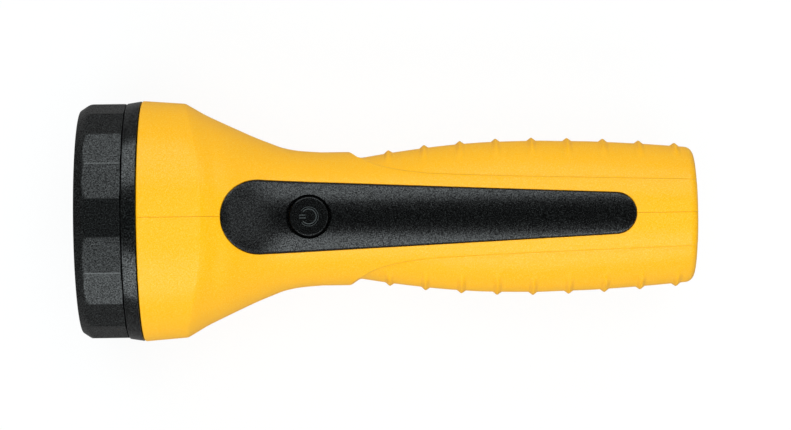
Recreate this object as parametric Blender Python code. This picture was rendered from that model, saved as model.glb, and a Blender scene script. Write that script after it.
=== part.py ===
"""Rechargeable flashlight with a faceted head ring, a two-part moulded housing and a sliding mains plug.

The lamp lies along X with its head towards -X, its push button up (+Z) and its origin on the axis,
halfway along. Lengths along the lamp are stations: distances behind the front rim.
"""
import math

import bmesh
import bpy

mm = 0.001

# Whole lamp
overall_length = 195.0 * mm
seat_gap = 0.3 * mm
slide_gap = 0.35 * mm
overrun = 1.0 * mm
reach = 60.0 * mm

# Mouth of the housing, which the whole head is sized from
mouth_radius = 38.6 * mm
mouth_wall = 2.4 * mm
mouth_edge = 0.4 * mm
mouth_bore_radius = mouth_radius - mouth_wall
mouth_bore_length = 10.0 * mm

# Collar that carries the head ring and closes the housing's mouth
collar_ledge = 0.3 * mm
collar_taper = 0.7 * mm
collar_rear_radius = mouth_radius - collar_ledge
collar_front_radius = collar_rear_radius - collar_taper
collar_length = 4.5 * mm
collar_edge = 0.4 * mm
collar_tail_radius = mouth_bore_radius - seat_gap
collar_tail_length = 7.0 * mm
collar_nose_step = 1.1 * mm
collar_nose_wall = 1.8 * mm
collar_nose_radius = collar_tail_radius - collar_nose_step
collar_bore_radius = collar_nose_radius - collar_nose_wall

# Head ring with flat facets
facet_count = 20
bezel_step = 0.1 * mm
bezel_facet_depth = 0.45 * mm
bezel_rim_inset = 1.9 * mm
bezel_thread_gap = 0.4 * mm
bezel_window_inset = 2.2 * mm
bezel_corner_radius = collar_front_radius + bezel_step
bezel_facet_radius = bezel_corner_radius - bezel_facet_depth
bezel_rim_radius = bezel_corner_radius - bezel_rim_inset
bezel_bore_radius = collar_nose_radius + bezel_thread_gap
bezel_window_radius = bezel_bore_radius - bezel_window_inset
bezel_window_flare = 0.9 * mm
bezel_lip_length = 3.2 * mm
bezel_length = 14.6 * mm
bezel_lip_thickness = 2.0 * mm

# Front disc, its seal and the reflector
lens_radius = bezel_bore_radius - seat_gap
lens_thickness = 2.5 * mm
lens_edge_chamfer = 0.4 * mm
seal_inset = 1.3 * mm
seal_thickness = 1.8 * mm
seal_radius = bezel_bore_radius - seal_inset
reflector_flange_inset = 0.6 * mm
reflector_mouth_inset = 1.0 * mm
reflector_flange_radius = bezel_bore_radius - reflector_flange_inset
reflector_flange_thickness = 1.3 * mm
reflector_mouth_radius = collar_bore_radius - reflector_mouth_inset
reflector_throat_radius = 6.0 * mm
reflector_wall = 1.2 * mm
reflector_depth = 28.5 * mm
reflector_neck_length = 2.4 * mm

# Moulded housing
bell_taper = 1.2 * mm
bell_edge_station = 33.3 * mm
bell_edge_radius = mouth_radius - bell_taper
bell_edge_sweep = 6.1 * mm
neck_station = 76.5 * mm
neck_half_width = 21.3 * mm
neck_half_height = 24.9 * mm
notch_station = 85.0 * mm
notch_floor_station = 89.0 * mm
notch_inset = 2.0 * mm
notch_half_width = neck_half_width - notch_inset
grip_swell = 4.9 * mm
grip_half_width = notch_half_width + grip_swell
notch_step = 1.5 * mm
groove_step = 0.5 * mm
housing_wall = 2.2 * mm
roof_wall = 1.5 * mm
tail_wall = 3.0 * mm
tail_corner = 2.5 * mm
parting_gap = 0.3 * mm
cone_width_shares = ((0, 1), (0.07, 0.89), (0.14, 0.78), (0.27, 0.61), (0.39, 0.46), (0.5, 0.325),
                     (0.62, 0.194), (0.73, 0.088), (0.85, 0.03), (1, 0))
cone_height_shares = ((0, 1), (0.06, 0.94), (0.155, 0.816), (0.27, 0.704), (0.39, 0.536), (0.5, 0.32),
                      (0.62, 0.176), (0.73, 0.08), (0.85, 0.03), (1, 0))
cone_station_shares = (0.03, 0.08, 0.16, 0.27, 0.39, 0.5, 0.62, 0.74, 0.87, 1)
spine_height_shares = ((0, 1), (0.04, 0.99), (0.14, 0.96), (0.41, 0.932), (0.68, 0.948), (1, 0.98))
grip_width_shares = ((0, 0), (0.075, 0.265), (0.15, 0.49), (0.226, 0.69), (0.3, 0.837), (0.377, 0.939),
                     (0.45, 0.98), (0.53, 1), (0.6, 0.96), (0.68, 0.92), (0.755, 0.837), (0.83, 0.735),
                     (0.906, 0.61), (1, 0.43))
groove_width_shares = ((0, 0.985), (0.033, 0.886), (0.069, 0.819), (0.106, 0.772), (0.13, 0.746),
                       (0.166, 0.72), (0.208, 0.694), (1, 0.535))
step_depth_shares = ((0, 1), (0.035, 1), (0.1, 0.75), (0.2, 0.3), (0.35, 0), (1, 0))
scoop_station_shares = (0.033, 0.06, 0.13, 0.17)
tail_round_shares = (0, 0.5, 0.85, 1)
spine_steps = 3
side_steps = 9

# Ribs across the sides of the grip
rib_count = 9
first_rib_station = 97.9 * mm
rib_tail_margin = 5.66 * mm
rib_pitch = (overall_length - rib_tail_margin - first_rib_station) / (rib_count - 1)
rib_height = 1.0 * mm
rib_width = 2.4 * mm
rib_full_angle = math.radians(56)
rib_end_angle = math.radians(42)
rib_profile_shares = ((-0.5, 0), (-0.26, 0.85), (0.26, 0.85), (0.5, 0))

# Inlaid switch panel
panel_front_station = 45.6 * mm
panel_tail_margin = 19.4 * mm
panel_rear_station = overall_length - panel_tail_margin
panel_front_radius = 11.6 * mm
panel_rear_radius = 6.5 * mm
panel_thickness = 1.6 * mm
panel_proud = 0.4 * mm
panel_edge_radius = 0.6 * mm
panel_long_steps = 12
panel_arc_steps = 5
panel_row_shares = (-1, -0.92, -0.5, 0, 0.5, 0.92, 1)

# Push button, in the panel
button_station = 72.9 * mm
button_radius = 6.2 * mm
button_hole_radius = button_radius + slide_gap + seat_gap
button_crown = 0.7 * mm
button_rim_width = 0.9 * mm
button_dish = 0.5 * mm
button_flange_radius = 7.6 * mm
button_flange_thickness = 1.0 * mm
button_stem_radius = 2.2 * mm
button_travel = 1.2 * mm

# Switch under the button
switch_size = 8.0 * mm
switch_height = 5.0 * mm
plunger_radius = 1.5 * mm
plunger_stick_out = 2.0 * mm
plunger_depth = 3.2 * mm
board_thickness = 1.6 * mm
switch_board_top = 9.0 * mm
switch_board_half_width = 10.0 * mm

# Light source
led_board_radius = 9.0 * mm
led_board_thickness = 1.6 * mm
led_base_radius = 3.2 * mm
led_base_height = 1.0 * mm
led_dome_radius = 2.4 * mm
sink_radius = 14.0 * mm
sink_length = 6.0 * mm
sink_groove_depth = 3.0 * mm
sink_groove_width = 1.2 * mm
sink_groove_count = 2

# Webs moulded inside the half shells
web_thickness = 2.0 * mm
sink_web_setback = 1.2 * mm
board_web_front_station = 62.0 * mm
board_web_rear_station = 83.0 * mm
board_window_half_width = 7.5 * mm
board_window_half_height = 18.0 * mm
board_end_reach = 0.2 * mm
battery_saddle_inset = 9.0 * mm
battery_stop_half_width = 8.5 * mm

# Rechargeable battery
battery_station = 93.6 * mm
battery_tail_margin = 46.4 * mm
battery_length = overall_length - battery_tail_margin - battery_station
battery_half_width = 12.0 * mm
battery_half_height = 13.0 * mm
battery_edge = 1.2 * mm
pad_thickness = 2.0 * mm
terminal_length = 5.0 * mm
terminal_width = 4.8 * mm
terminal_thickness = 0.8 * mm

# Mains charging circuit
charge_board_top = -6.0 * mm
charge_board_half_width = 14.0 * mm
capacitor_length = 13.0 * mm
capacitor_width = 8.0 * mm
capacitor_height = 11.0 * mm
capacitor_edge = 0.8 * mm
rectifier_radius = 4.0 * mm
rectifier_height = 5.0 * mm

# Sliding mains plug
plug_travel = 18.0 * mm
carriage_tail_margin = 34.0 * mm
carriage_station = overall_length - carriage_tail_margin
carriage_length = 12.0 * mm
carriage_half_width = 12.0 * mm
carriage_half_height = 6.0 * mm
carriage_edge = 0.8 * mm
prong_spacing = 12.7 * mm
prong_thickness = 1.5 * mm
prong_height = 6.35 * mm
prong_setback = 0.8 * mm
prong_tip_chamfer = 0.5 * mm
prong_tail = 1.6 * mm
rail_thickness = 2.0 * mm
rail_inner_half_width = 8.6 * mm
rail_shoulder = 0.9 * mm
contact_thickness = 0.4 * mm
contact_length = 14.0 * mm
contact_setback = 3.0 * mm
contact_inner = 5.0 * mm
contact_outer = 11.0 * mm

# Thumb slide under the tail
track_half_width = 5.6 * mm
track_depth = 1.0 * mm
track_front_margin = 4.0 * mm
knob_length = 11.0 * mm
knob_half_width = 4.8 * mm
knob_thickness = 2.2 * mm
knob_edge = 0.7 * mm
knob_groove_count = 4
knob_groove_depth = 0.5 * mm
knob_groove_width = 0.8 * mm
slider_neck_length = 7.0 * mm
slider_neck_half_width = 2.4 * mm

# Self-tapping screws through the half shells, as station and height of each
screw_tail_margin = 37.6 * mm
screw_places = ((52.0 * mm, -20.5 * mm), (88.0 * mm, -14.5 * mm),
                (battery_station + battery_length / 2, -17.7 * mm),
                (overall_length - screw_tail_margin, -13.0 * mm))
screw_boss_radius = 4.0 * mm
screw_head_radius = 2.6 * mm
screw_head_height = 1.8 * mm
screw_shank_radius = 1.2 * mm
screw_shank_length = 13.0 * mm
screw_head_seat = 6.5 * mm
screw_point_length = 1.5 * mm
screw_drive_radius = 1.1 * mm
screw_drive_depth = 0.8 * mm

# Stations worked out from the pieces in front
lens_front = bezel_lip_thickness + seat_gap
seal_front = lens_front + lens_thickness + seat_gap
reflector_front = seal_front + seal_thickness + seat_gap
collar_nose_front = reflector_front + reflector_flange_thickness + seat_gap
collar_front = bezel_length + seat_gap
collar_rear = collar_front + collar_length
housing_front = collar_rear + seat_gap
reflector_rear = reflector_front + reflector_depth + reflector_neck_length
led_board_front = reflector_rear + seat_gap
sink_front = led_board_front + led_board_thickness + seat_gap
carriage_front_end = carriage_station + carriage_length
bottom_track_floor = neck_half_height * spine_height_shares[3][1] - track_depth
knob_top = bottom_track_floor + seat_gap


def along(station):
    """World X of a station."""
    return station - overall_length / 2


def smooth_value(shares, place):
    """Value at a place on a smooth curve, without overshoot, through (place, value) points."""
    if place <= shares[0][0]:
        return shares[0][1]
    if place >= shares[-1][0]:
        return shares[-1][1]
    slopes = [(b[1] - a[1]) / (b[0] - a[0]) for a, b in zip(shares, shares[1:])]
    tangents = [slopes[0]]
    for before, after in zip(slopes, slopes[1:]):
        level = before * after <= 0
        tangents.append(0 if level else 2 * before * after / (before + after))
    tangents.append(slopes[-1])
    index = max(i for i, point in enumerate(shares[:-1]) if point[0] <= place)
    (start, low), (end, high) = shares[index], shares[index + 1]
    span = end - start
    t = (place - start) / span
    rise = high - low
    first, last = tangents[index] * span, tangents[index + 1] * span
    return low + t * (first + t * (3 * rise - 2 * first - last + t * (first + last - 2 * rise)))


def new_material(name, color, roughness, metallic=0.0, transmission=0.0):
    """Principled material with one colour."""
    material = bpy.data.materials.new(name)
    material.use_nodes = True
    shader = material.node_tree.nodes["Principled BSDF"]
    shader.inputs["Base Color"].default_value = (*color, 1)
    shader.inputs["Roughness"].default_value = roughness
    shader.inputs["Metallic"].default_value = metallic
    shader.inputs["Transmission Weight"].default_value = transmission
    return material


def add_object(name, mesh_data, material=None, origin=(0, 0, 0)):
    """Object from a bmesh in world coordinates, with its origin where its joint needs it."""
    bmesh.ops.recalc_face_normals(mesh_data, faces=mesh_data.faces)
    bmesh.ops.translate(mesh_data, verts=mesh_data.verts, vec=[-value for value in origin])
    mesh = bpy.data.meshes.new(name)
    mesh_data.to_mesh(mesh)
    mesh_data.free()
    mesh.shade_smooth()
    mesh.set_sharp_from_angle(angle=math.radians(28))
    made = bpy.data.objects.new(name, mesh)
    made.location = origin
    bpy.context.collection.objects.link(made)
    if material:
        mesh.materials.append(material)
    return made


def mark_cutter(cutter):
    """Show a cutting body as wire and keep it out of the model."""
    cutter.hide_render = True
    cutter.display_type = "WIRE"
    return cutter


def cut(target, cutter, operation="DIFFERENCE", solver="EXACT"):
    """Boolean one body with another; the long half shells and their cavity need the manifold solver."""
    mark_cutter(cutter)
    modifier = target.modifiers.new(cutter.name, "BOOLEAN")
    modifier.operation = operation
    modifier.solver = solver
    modifier.object = cutter


def add_loft(mesh_data, rings):
    """Closed body through rings of equally many points, with flat ends."""
    loops = [[mesh_data.verts.new(point) for point in ring] for ring in rings]
    for first, second in zip(loops, loops[1:]):
        for i, vertex in enumerate(first):
            follower = (i + 1) % len(first)
            mesh_data.faces.new((vertex, first[follower], second[follower], second[i]))
    mesh_data.faces.new(loops[0])
    mesh_data.faces.new(loops[-1])


def lofted(name, rings, material=None, origin=(0, 0, 0)):
    """Object lofted through rings."""
    mesh_data = bmesh.new()
    add_loft(mesh_data, rings)
    return add_object(name, mesh_data, material, origin)


def turned(name, profile, segments, material=None, origin=(0, 0, 0), frame=None):
    """Body turned about an axis from closed (radius, distance) points; zero radii lie on the axis.

    The frame maps (distance, across, up) to world coordinates; by default the axis is the lamp's.
    """
    place = frame or (lambda distance, across, up: (along(distance), across, up))
    mesh_data = bmesh.new()
    angles = [2 * math.pi * i / segments for i in range(segments)]
    rows = []
    for radius, distance in profile:
        if radius == 0:
            rows.append([mesh_data.verts.new(place(distance, 0, 0))])
        else:
            rows.append([mesh_data.verts.new(place(distance, radius * math.sin(a), radius * math.cos(a)))
                         for a in angles])
    pairs = list(zip(rows, rows[1:]))
    if len(rows[0]) > 1:
        pairs.append((rows[-1], rows[0]))
    for first, second in pairs:
        for i in range(segments):
            follower = (i + 1) % segments
            corners = [first[i % len(first)], first[follower % len(first)],
                       second[follower % len(second)], second[i % len(second)]]
            distinct = list(dict.fromkeys(corners))
            if len(distinct) > 2:
                mesh_data.faces.new(distinct)
    return add_object(name, mesh_data, material, origin)


def box(name, low, high, material=None, edge=0, origin=(0, 0, 0)):
    """Block between two corners given as (station, across, up), with bevelled edges if asked."""
    mesh_data = bmesh.new()
    bmesh.ops.create_cube(mesh_data, size=1)
    for vertex in mesh_data.verts:
        share = [value + 0.5 for value in vertex.co]
        place = [a + (b - a) * t for a, b, t in zip(low, high, share)]
        vertex.co = (along(place[0]), place[1], place[2])
    if edge:
        bmesh.ops.bevel(mesh_data, geom=mesh_data.edges[:], offset=edge, segments=2, profile=0.5,
                        affect="EDGES")
    return add_object(name, mesh_data, material, origin)


def across_frame(station, height, side=1):
    """Frame of a body turned about a line along Y."""
    return lambda distance, across, up: (along(station) + across, side * distance, height + up)


def upright_frame(station, offset=0):
    """Frame of a body turned about a line along Z."""
    return lambda distance, across, up: (along(station) + across, offset + up, distance)


# Outer form of the housing

def bell_sweep(station):
    """How far the bell's top and bottom lie behind its sides."""
    if station <= bell_edge_station:
        return bell_edge_sweep * max(station - housing_front, 0) / (bell_edge_station - housing_front)
    left = max(1 - (station - bell_edge_station) / (neck_station - bell_edge_station), 0)
    return bell_edge_sweep * left ** 2


def body_half_sizes(station):
    """Half width and half height of the bell, neck or spine."""
    if station <= bell_edge_station:
        share = (station - housing_front) / (bell_edge_station - housing_front)
        radius = mouth_radius + (bell_edge_radius - mouth_radius) * share
        return radius, radius
    if station < neck_station:
        share = (station - bell_edge_station) / (neck_station - bell_edge_station)
        width = smooth_value(cone_width_shares, share)
        height = smooth_value(cone_height_shares, share)
        return (neck_half_width + (bell_edge_radius - neck_half_width) * width,
                neck_half_height + (bell_edge_radius - neck_half_height) * height)
    return neck_half_width, neck_half_height * smooth_value(spine_height_shares, grip_share(station))


def grip_share(station):
    """Place along the grip, from the notch to the tail."""
    return (station - notch_floor_station) / (overall_length - notch_floor_station)


def side_half_width(station):
    """Half width of the scooped side of the grip."""
    if station < notch_floor_station:
        share = (station - notch_station) / (notch_floor_station - notch_station)
        return neck_half_width + (notch_half_width - neck_half_width) * share
    swell = smooth_value(grip_width_shares, grip_share(station))
    return notch_half_width + (grip_half_width - notch_half_width) * swell


def groove_half_width(station):
    """Half width of the spine between its two grooves."""
    if station < notch_floor_station:
        return side_half_width(station) * groove_width_shares[0][1]
    return notch_half_width * smooth_value(groove_width_shares, grip_share(station))


def groove_depth(station):
    """Depth of the step from the spine down to the side of the grip."""
    if station < notch_floor_station:
        share = (station - notch_station) / (notch_floor_station - notch_station)
        return notch_step * (0.1 + 0.9 * share)
    share = smooth_value(step_depth_shares, grip_share(station))
    return groove_step + (notch_step - groove_step) * share


def rib_rise(station, angle):
    """Height of the ribs above the side of the grip."""
    index = min(max(round((station - first_rib_station) / rib_pitch), 0), rib_count - 1)
    offset = (station - first_rib_station - index * rib_pitch) / rib_width
    if abs(offset) >= rib_profile_shares[-1][0]:
        return 0
    profile = smooth_value(rib_profile_shares, offset)
    from_side = abs(angle - math.pi / 2)
    full, end = math.pi / 2 - rib_full_angle, math.pi / 2 - rib_end_angle
    fade = min(max((end - from_side) / (end - full), 0), 1)
    return rib_height * profile * fade


def tail_inset(station):
    """How far the rounded tail corner draws the surface in."""
    into = station - (overall_length - tail_corner)
    if into <= 0:
        return 0
    return tail_corner - math.sqrt(max(tail_corner ** 2 - into ** 2, 0))


def section(station):
    """Half of the housing's outline at a station, from the top over one side to the bottom."""
    width, height = body_half_sizes(station)
    points = []
    if station < notch_station:
        lead = min(max((station - neck_station) / (notch_station - neck_station), 0), 1)
        split = math.radians(42) + (math.radians(74) - math.radians(42)) * lead
        gap = (math.pi / 2 - split) / side_steps
        for i in range(spine_steps + 1):
            angle = (split - gap) * i / spine_steps
            points.append((width * math.sin(angle), height * math.cos(angle), angle))
        for i in range(side_steps + 1):
            angle = split + (math.pi - 2 * split) * i / side_steps
            points.append((width * math.sin(angle), height * math.cos(angle), angle))
    else:
        groove = groove_half_width(station)
        edge_angle = math.asin(groove / width)
        for i in range(spine_steps + 1):
            angle = edge_angle * i / spine_steps
            points.append((width * math.sin(angle), height * math.cos(angle), angle))
        edge_height = height * math.cos(edge_angle) - groove_depth(station)
        side_width = side_half_width(station)
        side_angle = math.asin(groove / side_width)
        side_height = edge_height / math.cos(side_angle)
        for i in range(side_steps + 1):
            angle = side_angle + (math.pi - 2 * side_angle) * i / side_steps
            across, up = side_width * math.sin(angle), side_height * math.cos(angle)
            around = math.atan2(across, up)
            rise = rib_rise(station, around)
            points.append((across + rise * math.sin(around), up + rise * math.cos(around), angle))
    points += [(across, -up, math.pi - angle) for across, up, angle in reversed(points[:spine_steps + 1])]
    inset = tail_inset(station)
    sweep = bell_sweep(station)
    placed = []
    for across, up, angle in points:
        shrink = 1 - inset / math.hypot(across, up)
        placed.append((along(station) + sweep * math.cos(angle) ** 2, across * shrink, up * shrink))
    return placed


def housing_stations():
    """Stations of the housing's rings: close together at edges, the scoop and each rib."""
    cone = neck_station - bell_edge_station
    grip = overall_length - notch_floor_station
    stations = [housing_front, housing_front + mouth_edge]
    stations += [bell_edge_station]
    stations += [bell_edge_station + cone * share for share in cone_station_shares]
    stations += [notch_station - seat_gap, notch_station, notch_floor_station]
    stations += [notch_floor_station + grip * share for share in scoop_station_shares]
    for i in range(rib_count):
        crest = first_rib_station + i * rib_pitch
        stations += [crest + rib_width * place for place, _ in rib_profile_shares]
    stations += [overall_length - tail_corner * (1 - share) for share in tail_round_shares]
    return sorted(stations)


def top_height(station, across):
    """Height of the spine's surface above the axis at a place seen from above."""
    nominal = station
    for _ in range(20):
        width, height = body_half_sizes(nominal)
        level = max(1 - (across / width) ** 2, 0)
        nominal = station - bell_sweep(nominal) * level
    return height * math.sqrt(level)


# Switch panel and its recess

def panel_outline():
    """Stations of the panel's sections with its half width at each."""
    front = panel_front_station + panel_front_radius
    rear = panel_rear_station - panel_rear_radius
    lean = math.asin((panel_front_radius - panel_rear_radius) / (rear - front))
    outline = []
    for i in range(panel_arc_steps + 1):
        angle = math.radians(10) + (math.pi / 2 + lean - math.radians(10)) * i / panel_arc_steps
        outline.append((front - panel_front_radius * math.cos(angle), panel_front_radius * math.sin(angle)))
    tail = []
    for i in range(panel_arc_steps + 1):
        angle = math.radians(10) + (math.pi / 2 - lean - math.radians(10)) * i / panel_arc_steps
        tail.append((rear + panel_rear_radius * math.cos(angle), panel_rear_radius * math.sin(angle)))
    tail.reverse()
    start, end = outline[-1], tail[0]
    for i in range(1, panel_long_steps):
        share = (i / panel_long_steps) ** 1.4
        outline.append((start[0] + (end[0] - start[0]) * share, start[1] + (end[1] - start[1]) * share))
    return outline + tail


def panel_rings(growth, top_rise, bottom_drop, edge):
    """Rings of a body that follows the housing's top within the panel's outline."""
    middle = (panel_front_station + panel_rear_station) / 2
    first = panel_front_station - growth
    last = panel_rear_station + growth
    rings = []
    for station, half_width in panel_outline():
        length_share = (station - middle) / (panel_rear_station - panel_front_station) * 2
        place = station + growth * length_share
        wide = half_width + growth
        top, bottom = [], []
        for share in panel_row_shares:
            across = wide * share
            surface = top_height(place, across)
            margin = min(wide - abs(across), place - first, last - place)
            drop = 0
            if edge and margin < edge:
                drop = edge - math.sqrt(max(edge ** 2 - (edge - max(margin, 0)) ** 2, 0))
            top.append((along(place), across, surface + top_rise - drop))
            bottom.append((along(place), across, surface - bottom_drop))
        rings.append(top + bottom[::-1])
    return rings


# Pieces

def make_bezel(material):
    """Head ring: a turned body whose outside is cut by flat facets."""
    lip = bezel_corner_radius - bezel_rim_radius
    rim = []
    for angle in (0, 25, 50, 70, 90):
        turn = math.radians(angle)
        rim.append((bezel_rim_radius + lip * math.sin(turn), bezel_lip_length * (1 - math.cos(turn))))
    outside = rim + [(bezel_corner_radius, bezel_length)]
    inside = [(bezel_bore_radius, bezel_length), (bezel_bore_radius, bezel_lip_thickness),
              (bezel_window_radius, bezel_lip_thickness), (bezel_window_radius + bezel_window_flare, 0)]
    steps = 4
    points = facet_count * steps
    facet = 2 * math.pi / facet_count
    mesh_data = bmesh.new()
    columns = []
    for i in range(points):
        angle = facet * i / steps
        off_middle = (angle + facet / 2) % facet - facet / 2
        flat = bezel_facet_radius / math.cos(off_middle)
        column = [(min(radius, flat), station) for radius, station in outside] + inside
        columns.append([mesh_data.verts.new((along(station), radius * math.sin(angle),
                                             radius * math.cos(angle))) for radius, station in column])
    for i, column in enumerate(columns):
        following = columns[(i + 1) % points]
        for j, vertex in enumerate(column):
            below = (j + 1) % len(column)
            mesh_data.faces.new((vertex, column[below], following[below], following[j]))
    return add_object("bezel_ring", mesh_data, material, (along(collar_front), 0, 0))


def make_lens(material):
    """Flat clear disc with small chamfers."""
    front, rear = lens_front, lens_front + lens_thickness
    inner = lens_radius - lens_edge_chamfer
    profile = [(0, front), (inner, front), (lens_radius, front + lens_edge_chamfer),
               (lens_radius, rear - lens_edge_chamfer), (inner, rear), (0, rear)]
    return turned("lens", profile, 32, material)


def make_seal(material):
    """Round rubber ring between lens and reflector."""
    radius = seal_thickness / 2
    middle = seal_front + radius
    profile = [(seal_radius + radius * math.cos(a), middle + radius * math.sin(a))
               for a in [math.pi * 2 * i / 6 + math.pi / 2 for i in range(6)]]
    return turned("lens_seal", profile, 32, material)


def reflector_curve(wall, count):
    """Bowl profile from mouth to throat, as a parabola."""
    mouth, throat = reflector_mouth_radius + wall, reflector_throat_radius + wall
    curve = []
    for i in range(count + 1):
        radius = mouth + (throat - mouth) * i / count
        depth = 1 - (radius ** 2 - throat ** 2) / (mouth ** 2 - throat ** 2)
        curve.append((radius, reflector_front + reflector_depth * depth))
    return curve


def make_reflector(material):
    """Thin bowl with a rim flange in front and a short neck behind."""
    inner = reflector_curve(0, 6)
    outer = [point for point in reflector_curve(reflector_wall, 5)
             if point[1] > reflector_front + reflector_flange_thickness][::-1]
    throat = reflector_throat_radius
    rear = reflector_rear
    flange_rear = reflector_front + reflector_flange_thickness
    profile = inner + [(throat, rear), (throat + reflector_wall, rear)] + outer
    profile += [(reflector_mouth_radius, flange_rear), (reflector_flange_radius, flange_rear),
                (reflector_flange_radius, reflector_front)]
    return turned("reflector", profile, 30, material)


def make_collar(material):
    """Black ring with a nose for the head ring's thread and a tail in the housing's mouth."""
    tail_end = collar_rear + collar_tail_length
    profile = [(collar_bore_radius, collar_nose_front), (collar_nose_radius, collar_nose_front),
               (collar_nose_radius, collar_front), (collar_front_radius - collar_edge, collar_front),
               (collar_front_radius, collar_front + collar_edge),
               (collar_rear_radius, collar_rear - collar_edge),
               (collar_rear_radius - collar_edge, collar_rear), (collar_tail_radius, collar_rear),
               (collar_tail_radius, tail_end), (collar_bore_radius, tail_end)]
    return turned("collar_ring", profile, 48, material)


def make_cavity():
    """Inside of the housing with the webs, bosses and rails left standing in it."""
    steps = 32
    tail_inner = overall_length - tail_wall
    bore_end = housing_front + mouth_bore_length
    shares = (0, 0.12, 0.25, 0.4, 0.55, 0.7, 0.85, 1)
    stations = [bore_end + (neck_station - bore_end) * share for share in shares]
    stations += [notch_station, notch_floor_station]
    grip = tail_inner - notch_floor_station
    stations += [notch_floor_station + grip * share for share in (0.1, 0.25, 0.45, 0.7, 1)]
    rings = []
    for station in (housing_front - overrun, bore_end):
        rings.append([(along(station), mouth_bore_radius * math.sin(2 * math.pi * i / steps),
                       mouth_bore_radius * math.cos(2 * math.pi * i / steps)) for i in range(steps)])
    for station in stations[1:]:
        width, height = body_half_sizes(station)
        roof = panel_thickness + slide_gap + roof_wall
        if station >= notch_station:
            width = side_half_width(station)
        blend = min((station - bore_end) / (panel_front_station - bore_end), 1)
        inner_width = width - housing_wall
        inner_height = height - housing_wall - (roof - housing_wall) * blend
        ring = []
        for i in range(steps):
            angle = 2 * math.pi * i / steps
            sweep = bell_sweep(station) * math.cos(angle) ** 2
            ring.append((along(station) + sweep, min(inner_width, mouth_bore_radius) * math.sin(angle),
                         min(inner_height, mouth_bore_radius) * math.cos(angle)))
        rings.append(ring)
    cavity = mark_cutter(lofted("housing_cavity", rings))
    for standing in make_standing_walls():
        cut(cavity, standing, solver="MANIFOLD")
    return cavity


def web(name, station, window):
    """Cross wall with a window given by its half width and half height."""
    wall = box(name, (station, -reach, -reach), (station + web_thickness, reach, reach))
    half_width, half_height = window
    opening = box(name + "_window", (station - overrun, -half_width, -half_height),
                  (station + web_thickness + overrun, half_width, half_height))
    cut(wall, opening)
    return wall


def make_posts():
    """Screw bosses and plug rails inside the housing."""
    posts = []
    for i, (station, height) in enumerate(screw_places):
        posts.append(turned(f"screw_boss_{i + 1}", [(0, -reach), (screw_boss_radius, -reach),
                                                     (screw_boss_radius, reach), (0, reach)], 16,
                            frame=across_frame(station, height)))
    for side in (-1, 1):
        for level in (-1, 1):
            inner = carriage_half_height + slide_gap
            if level > 0:
                inner += rail_shoulder
            lows, highs = sorted((level * inner, level * (inner + rail_thickness)))
            left, right = sorted((side * rail_inner_half_width, side * reach))
            posts.append(box(f"plug_rail_{side}_{level}", (carriage_station - seat_gap, left, lows),
                             (overall_length, right, highs)))
    return posts


def make_standing_walls():
    """Screw bosses, plug rails and webs that stay in the housing's cavity."""
    walls = make_posts()
    sink_web = box("sink_web", (sink_front + sink_web_setback, -reach, -reach),
                   (sink_front + sink_web_setback + web_thickness, reach, reach))
    hole = sink_radius + seat_gap
    cut(sink_web, turned("sink_web_hole", [(0, sink_front - overrun), (hole, sink_front - overrun),
                                           (hole, sink_front + sink_length + overrun),
                                           (0, sink_front + sink_length + overrun)], 24))
    walls.append(sink_web)
    for name, station in (("front", board_web_front_station), ("rear", board_web_rear_station)):
        wall = web("board_web_" + name, station, (board_window_half_width, board_window_half_height))
        for board, top, half_width in (("switch", switch_board_top, switch_board_half_width),
                                       ("charge", charge_board_top, charge_board_half_width)):
            slot = box(f"{board}_board_slot_{name}",
                       (station - overrun, -half_width - seat_gap, top - board_thickness - seat_gap),
                       (station + web_thickness + overrun, half_width + seat_gap, top + seat_gap))
            cut(wall, slot)
        walls.append(wall)
    stop = (battery_stop_half_width, battery_stop_half_width)
    walls.append(web("battery_front_stop", battery_station - seat_gap - web_thickness, stop))
    pad_rear = battery_station + battery_length + pad_thickness + 2 * seat_gap
    walls.append(web("battery_rear_stop", pad_rear, stop))
    saddle = (battery_half_width + seat_gap, battery_half_height + seat_gap)
    walls.append(web("battery_saddle_front", battery_station + battery_saddle_inset, saddle))
    walls.append(web("battery_saddle_rear", battery_station + battery_length - battery_saddle_inset
                     - web_thickness, saddle))
    return walls


def make_recess():
    """Recess for the switch panel."""
    return mark_cutter(lofted("panel_recess", panel_rings(seat_gap, reach / 2, panel_thickness
                                                           - panel_proud + seat_gap, 0)))


def make_tail_cutters():
    """Slots for the prongs and for the thumb slide, and the track that it runs in."""
    cutters = []
    half_thick = prong_thickness / 2 + slide_gap
    half_tall = prong_height / 2 + slide_gap
    for name, side in (("left", 1), ("right", -1)):
        middle = side * prong_spacing / 2
        cutters.append(box("prong_slot_" + name,
                           (overall_length - tail_wall - overrun, middle - half_thick, -half_tall),
                           (overall_length + overrun, middle + half_thick, half_tall)))
    front = carriage_station + carriage_length / 2 - slider_neck_length / 2 - slide_gap
    rear = front + slider_neck_length + plug_travel + 2 * slide_gap
    neck = slider_neck_half_width + slide_gap
    cutters.append(box("slider_slot", (front, -neck, -reach), (rear, neck, -carriage_half_height)))
    knob_front = carriage_station + carriage_length / 2 - knob_length / 2
    knob_rear = knob_front + knob_length + plug_travel
    cutters.append(box("slider_track", (knob_front - track_front_margin / 2, -track_half_width, -reach),
                       (knob_rear + track_front_margin / 2, track_half_width, -bottom_track_floor)))
    return cutters


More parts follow.
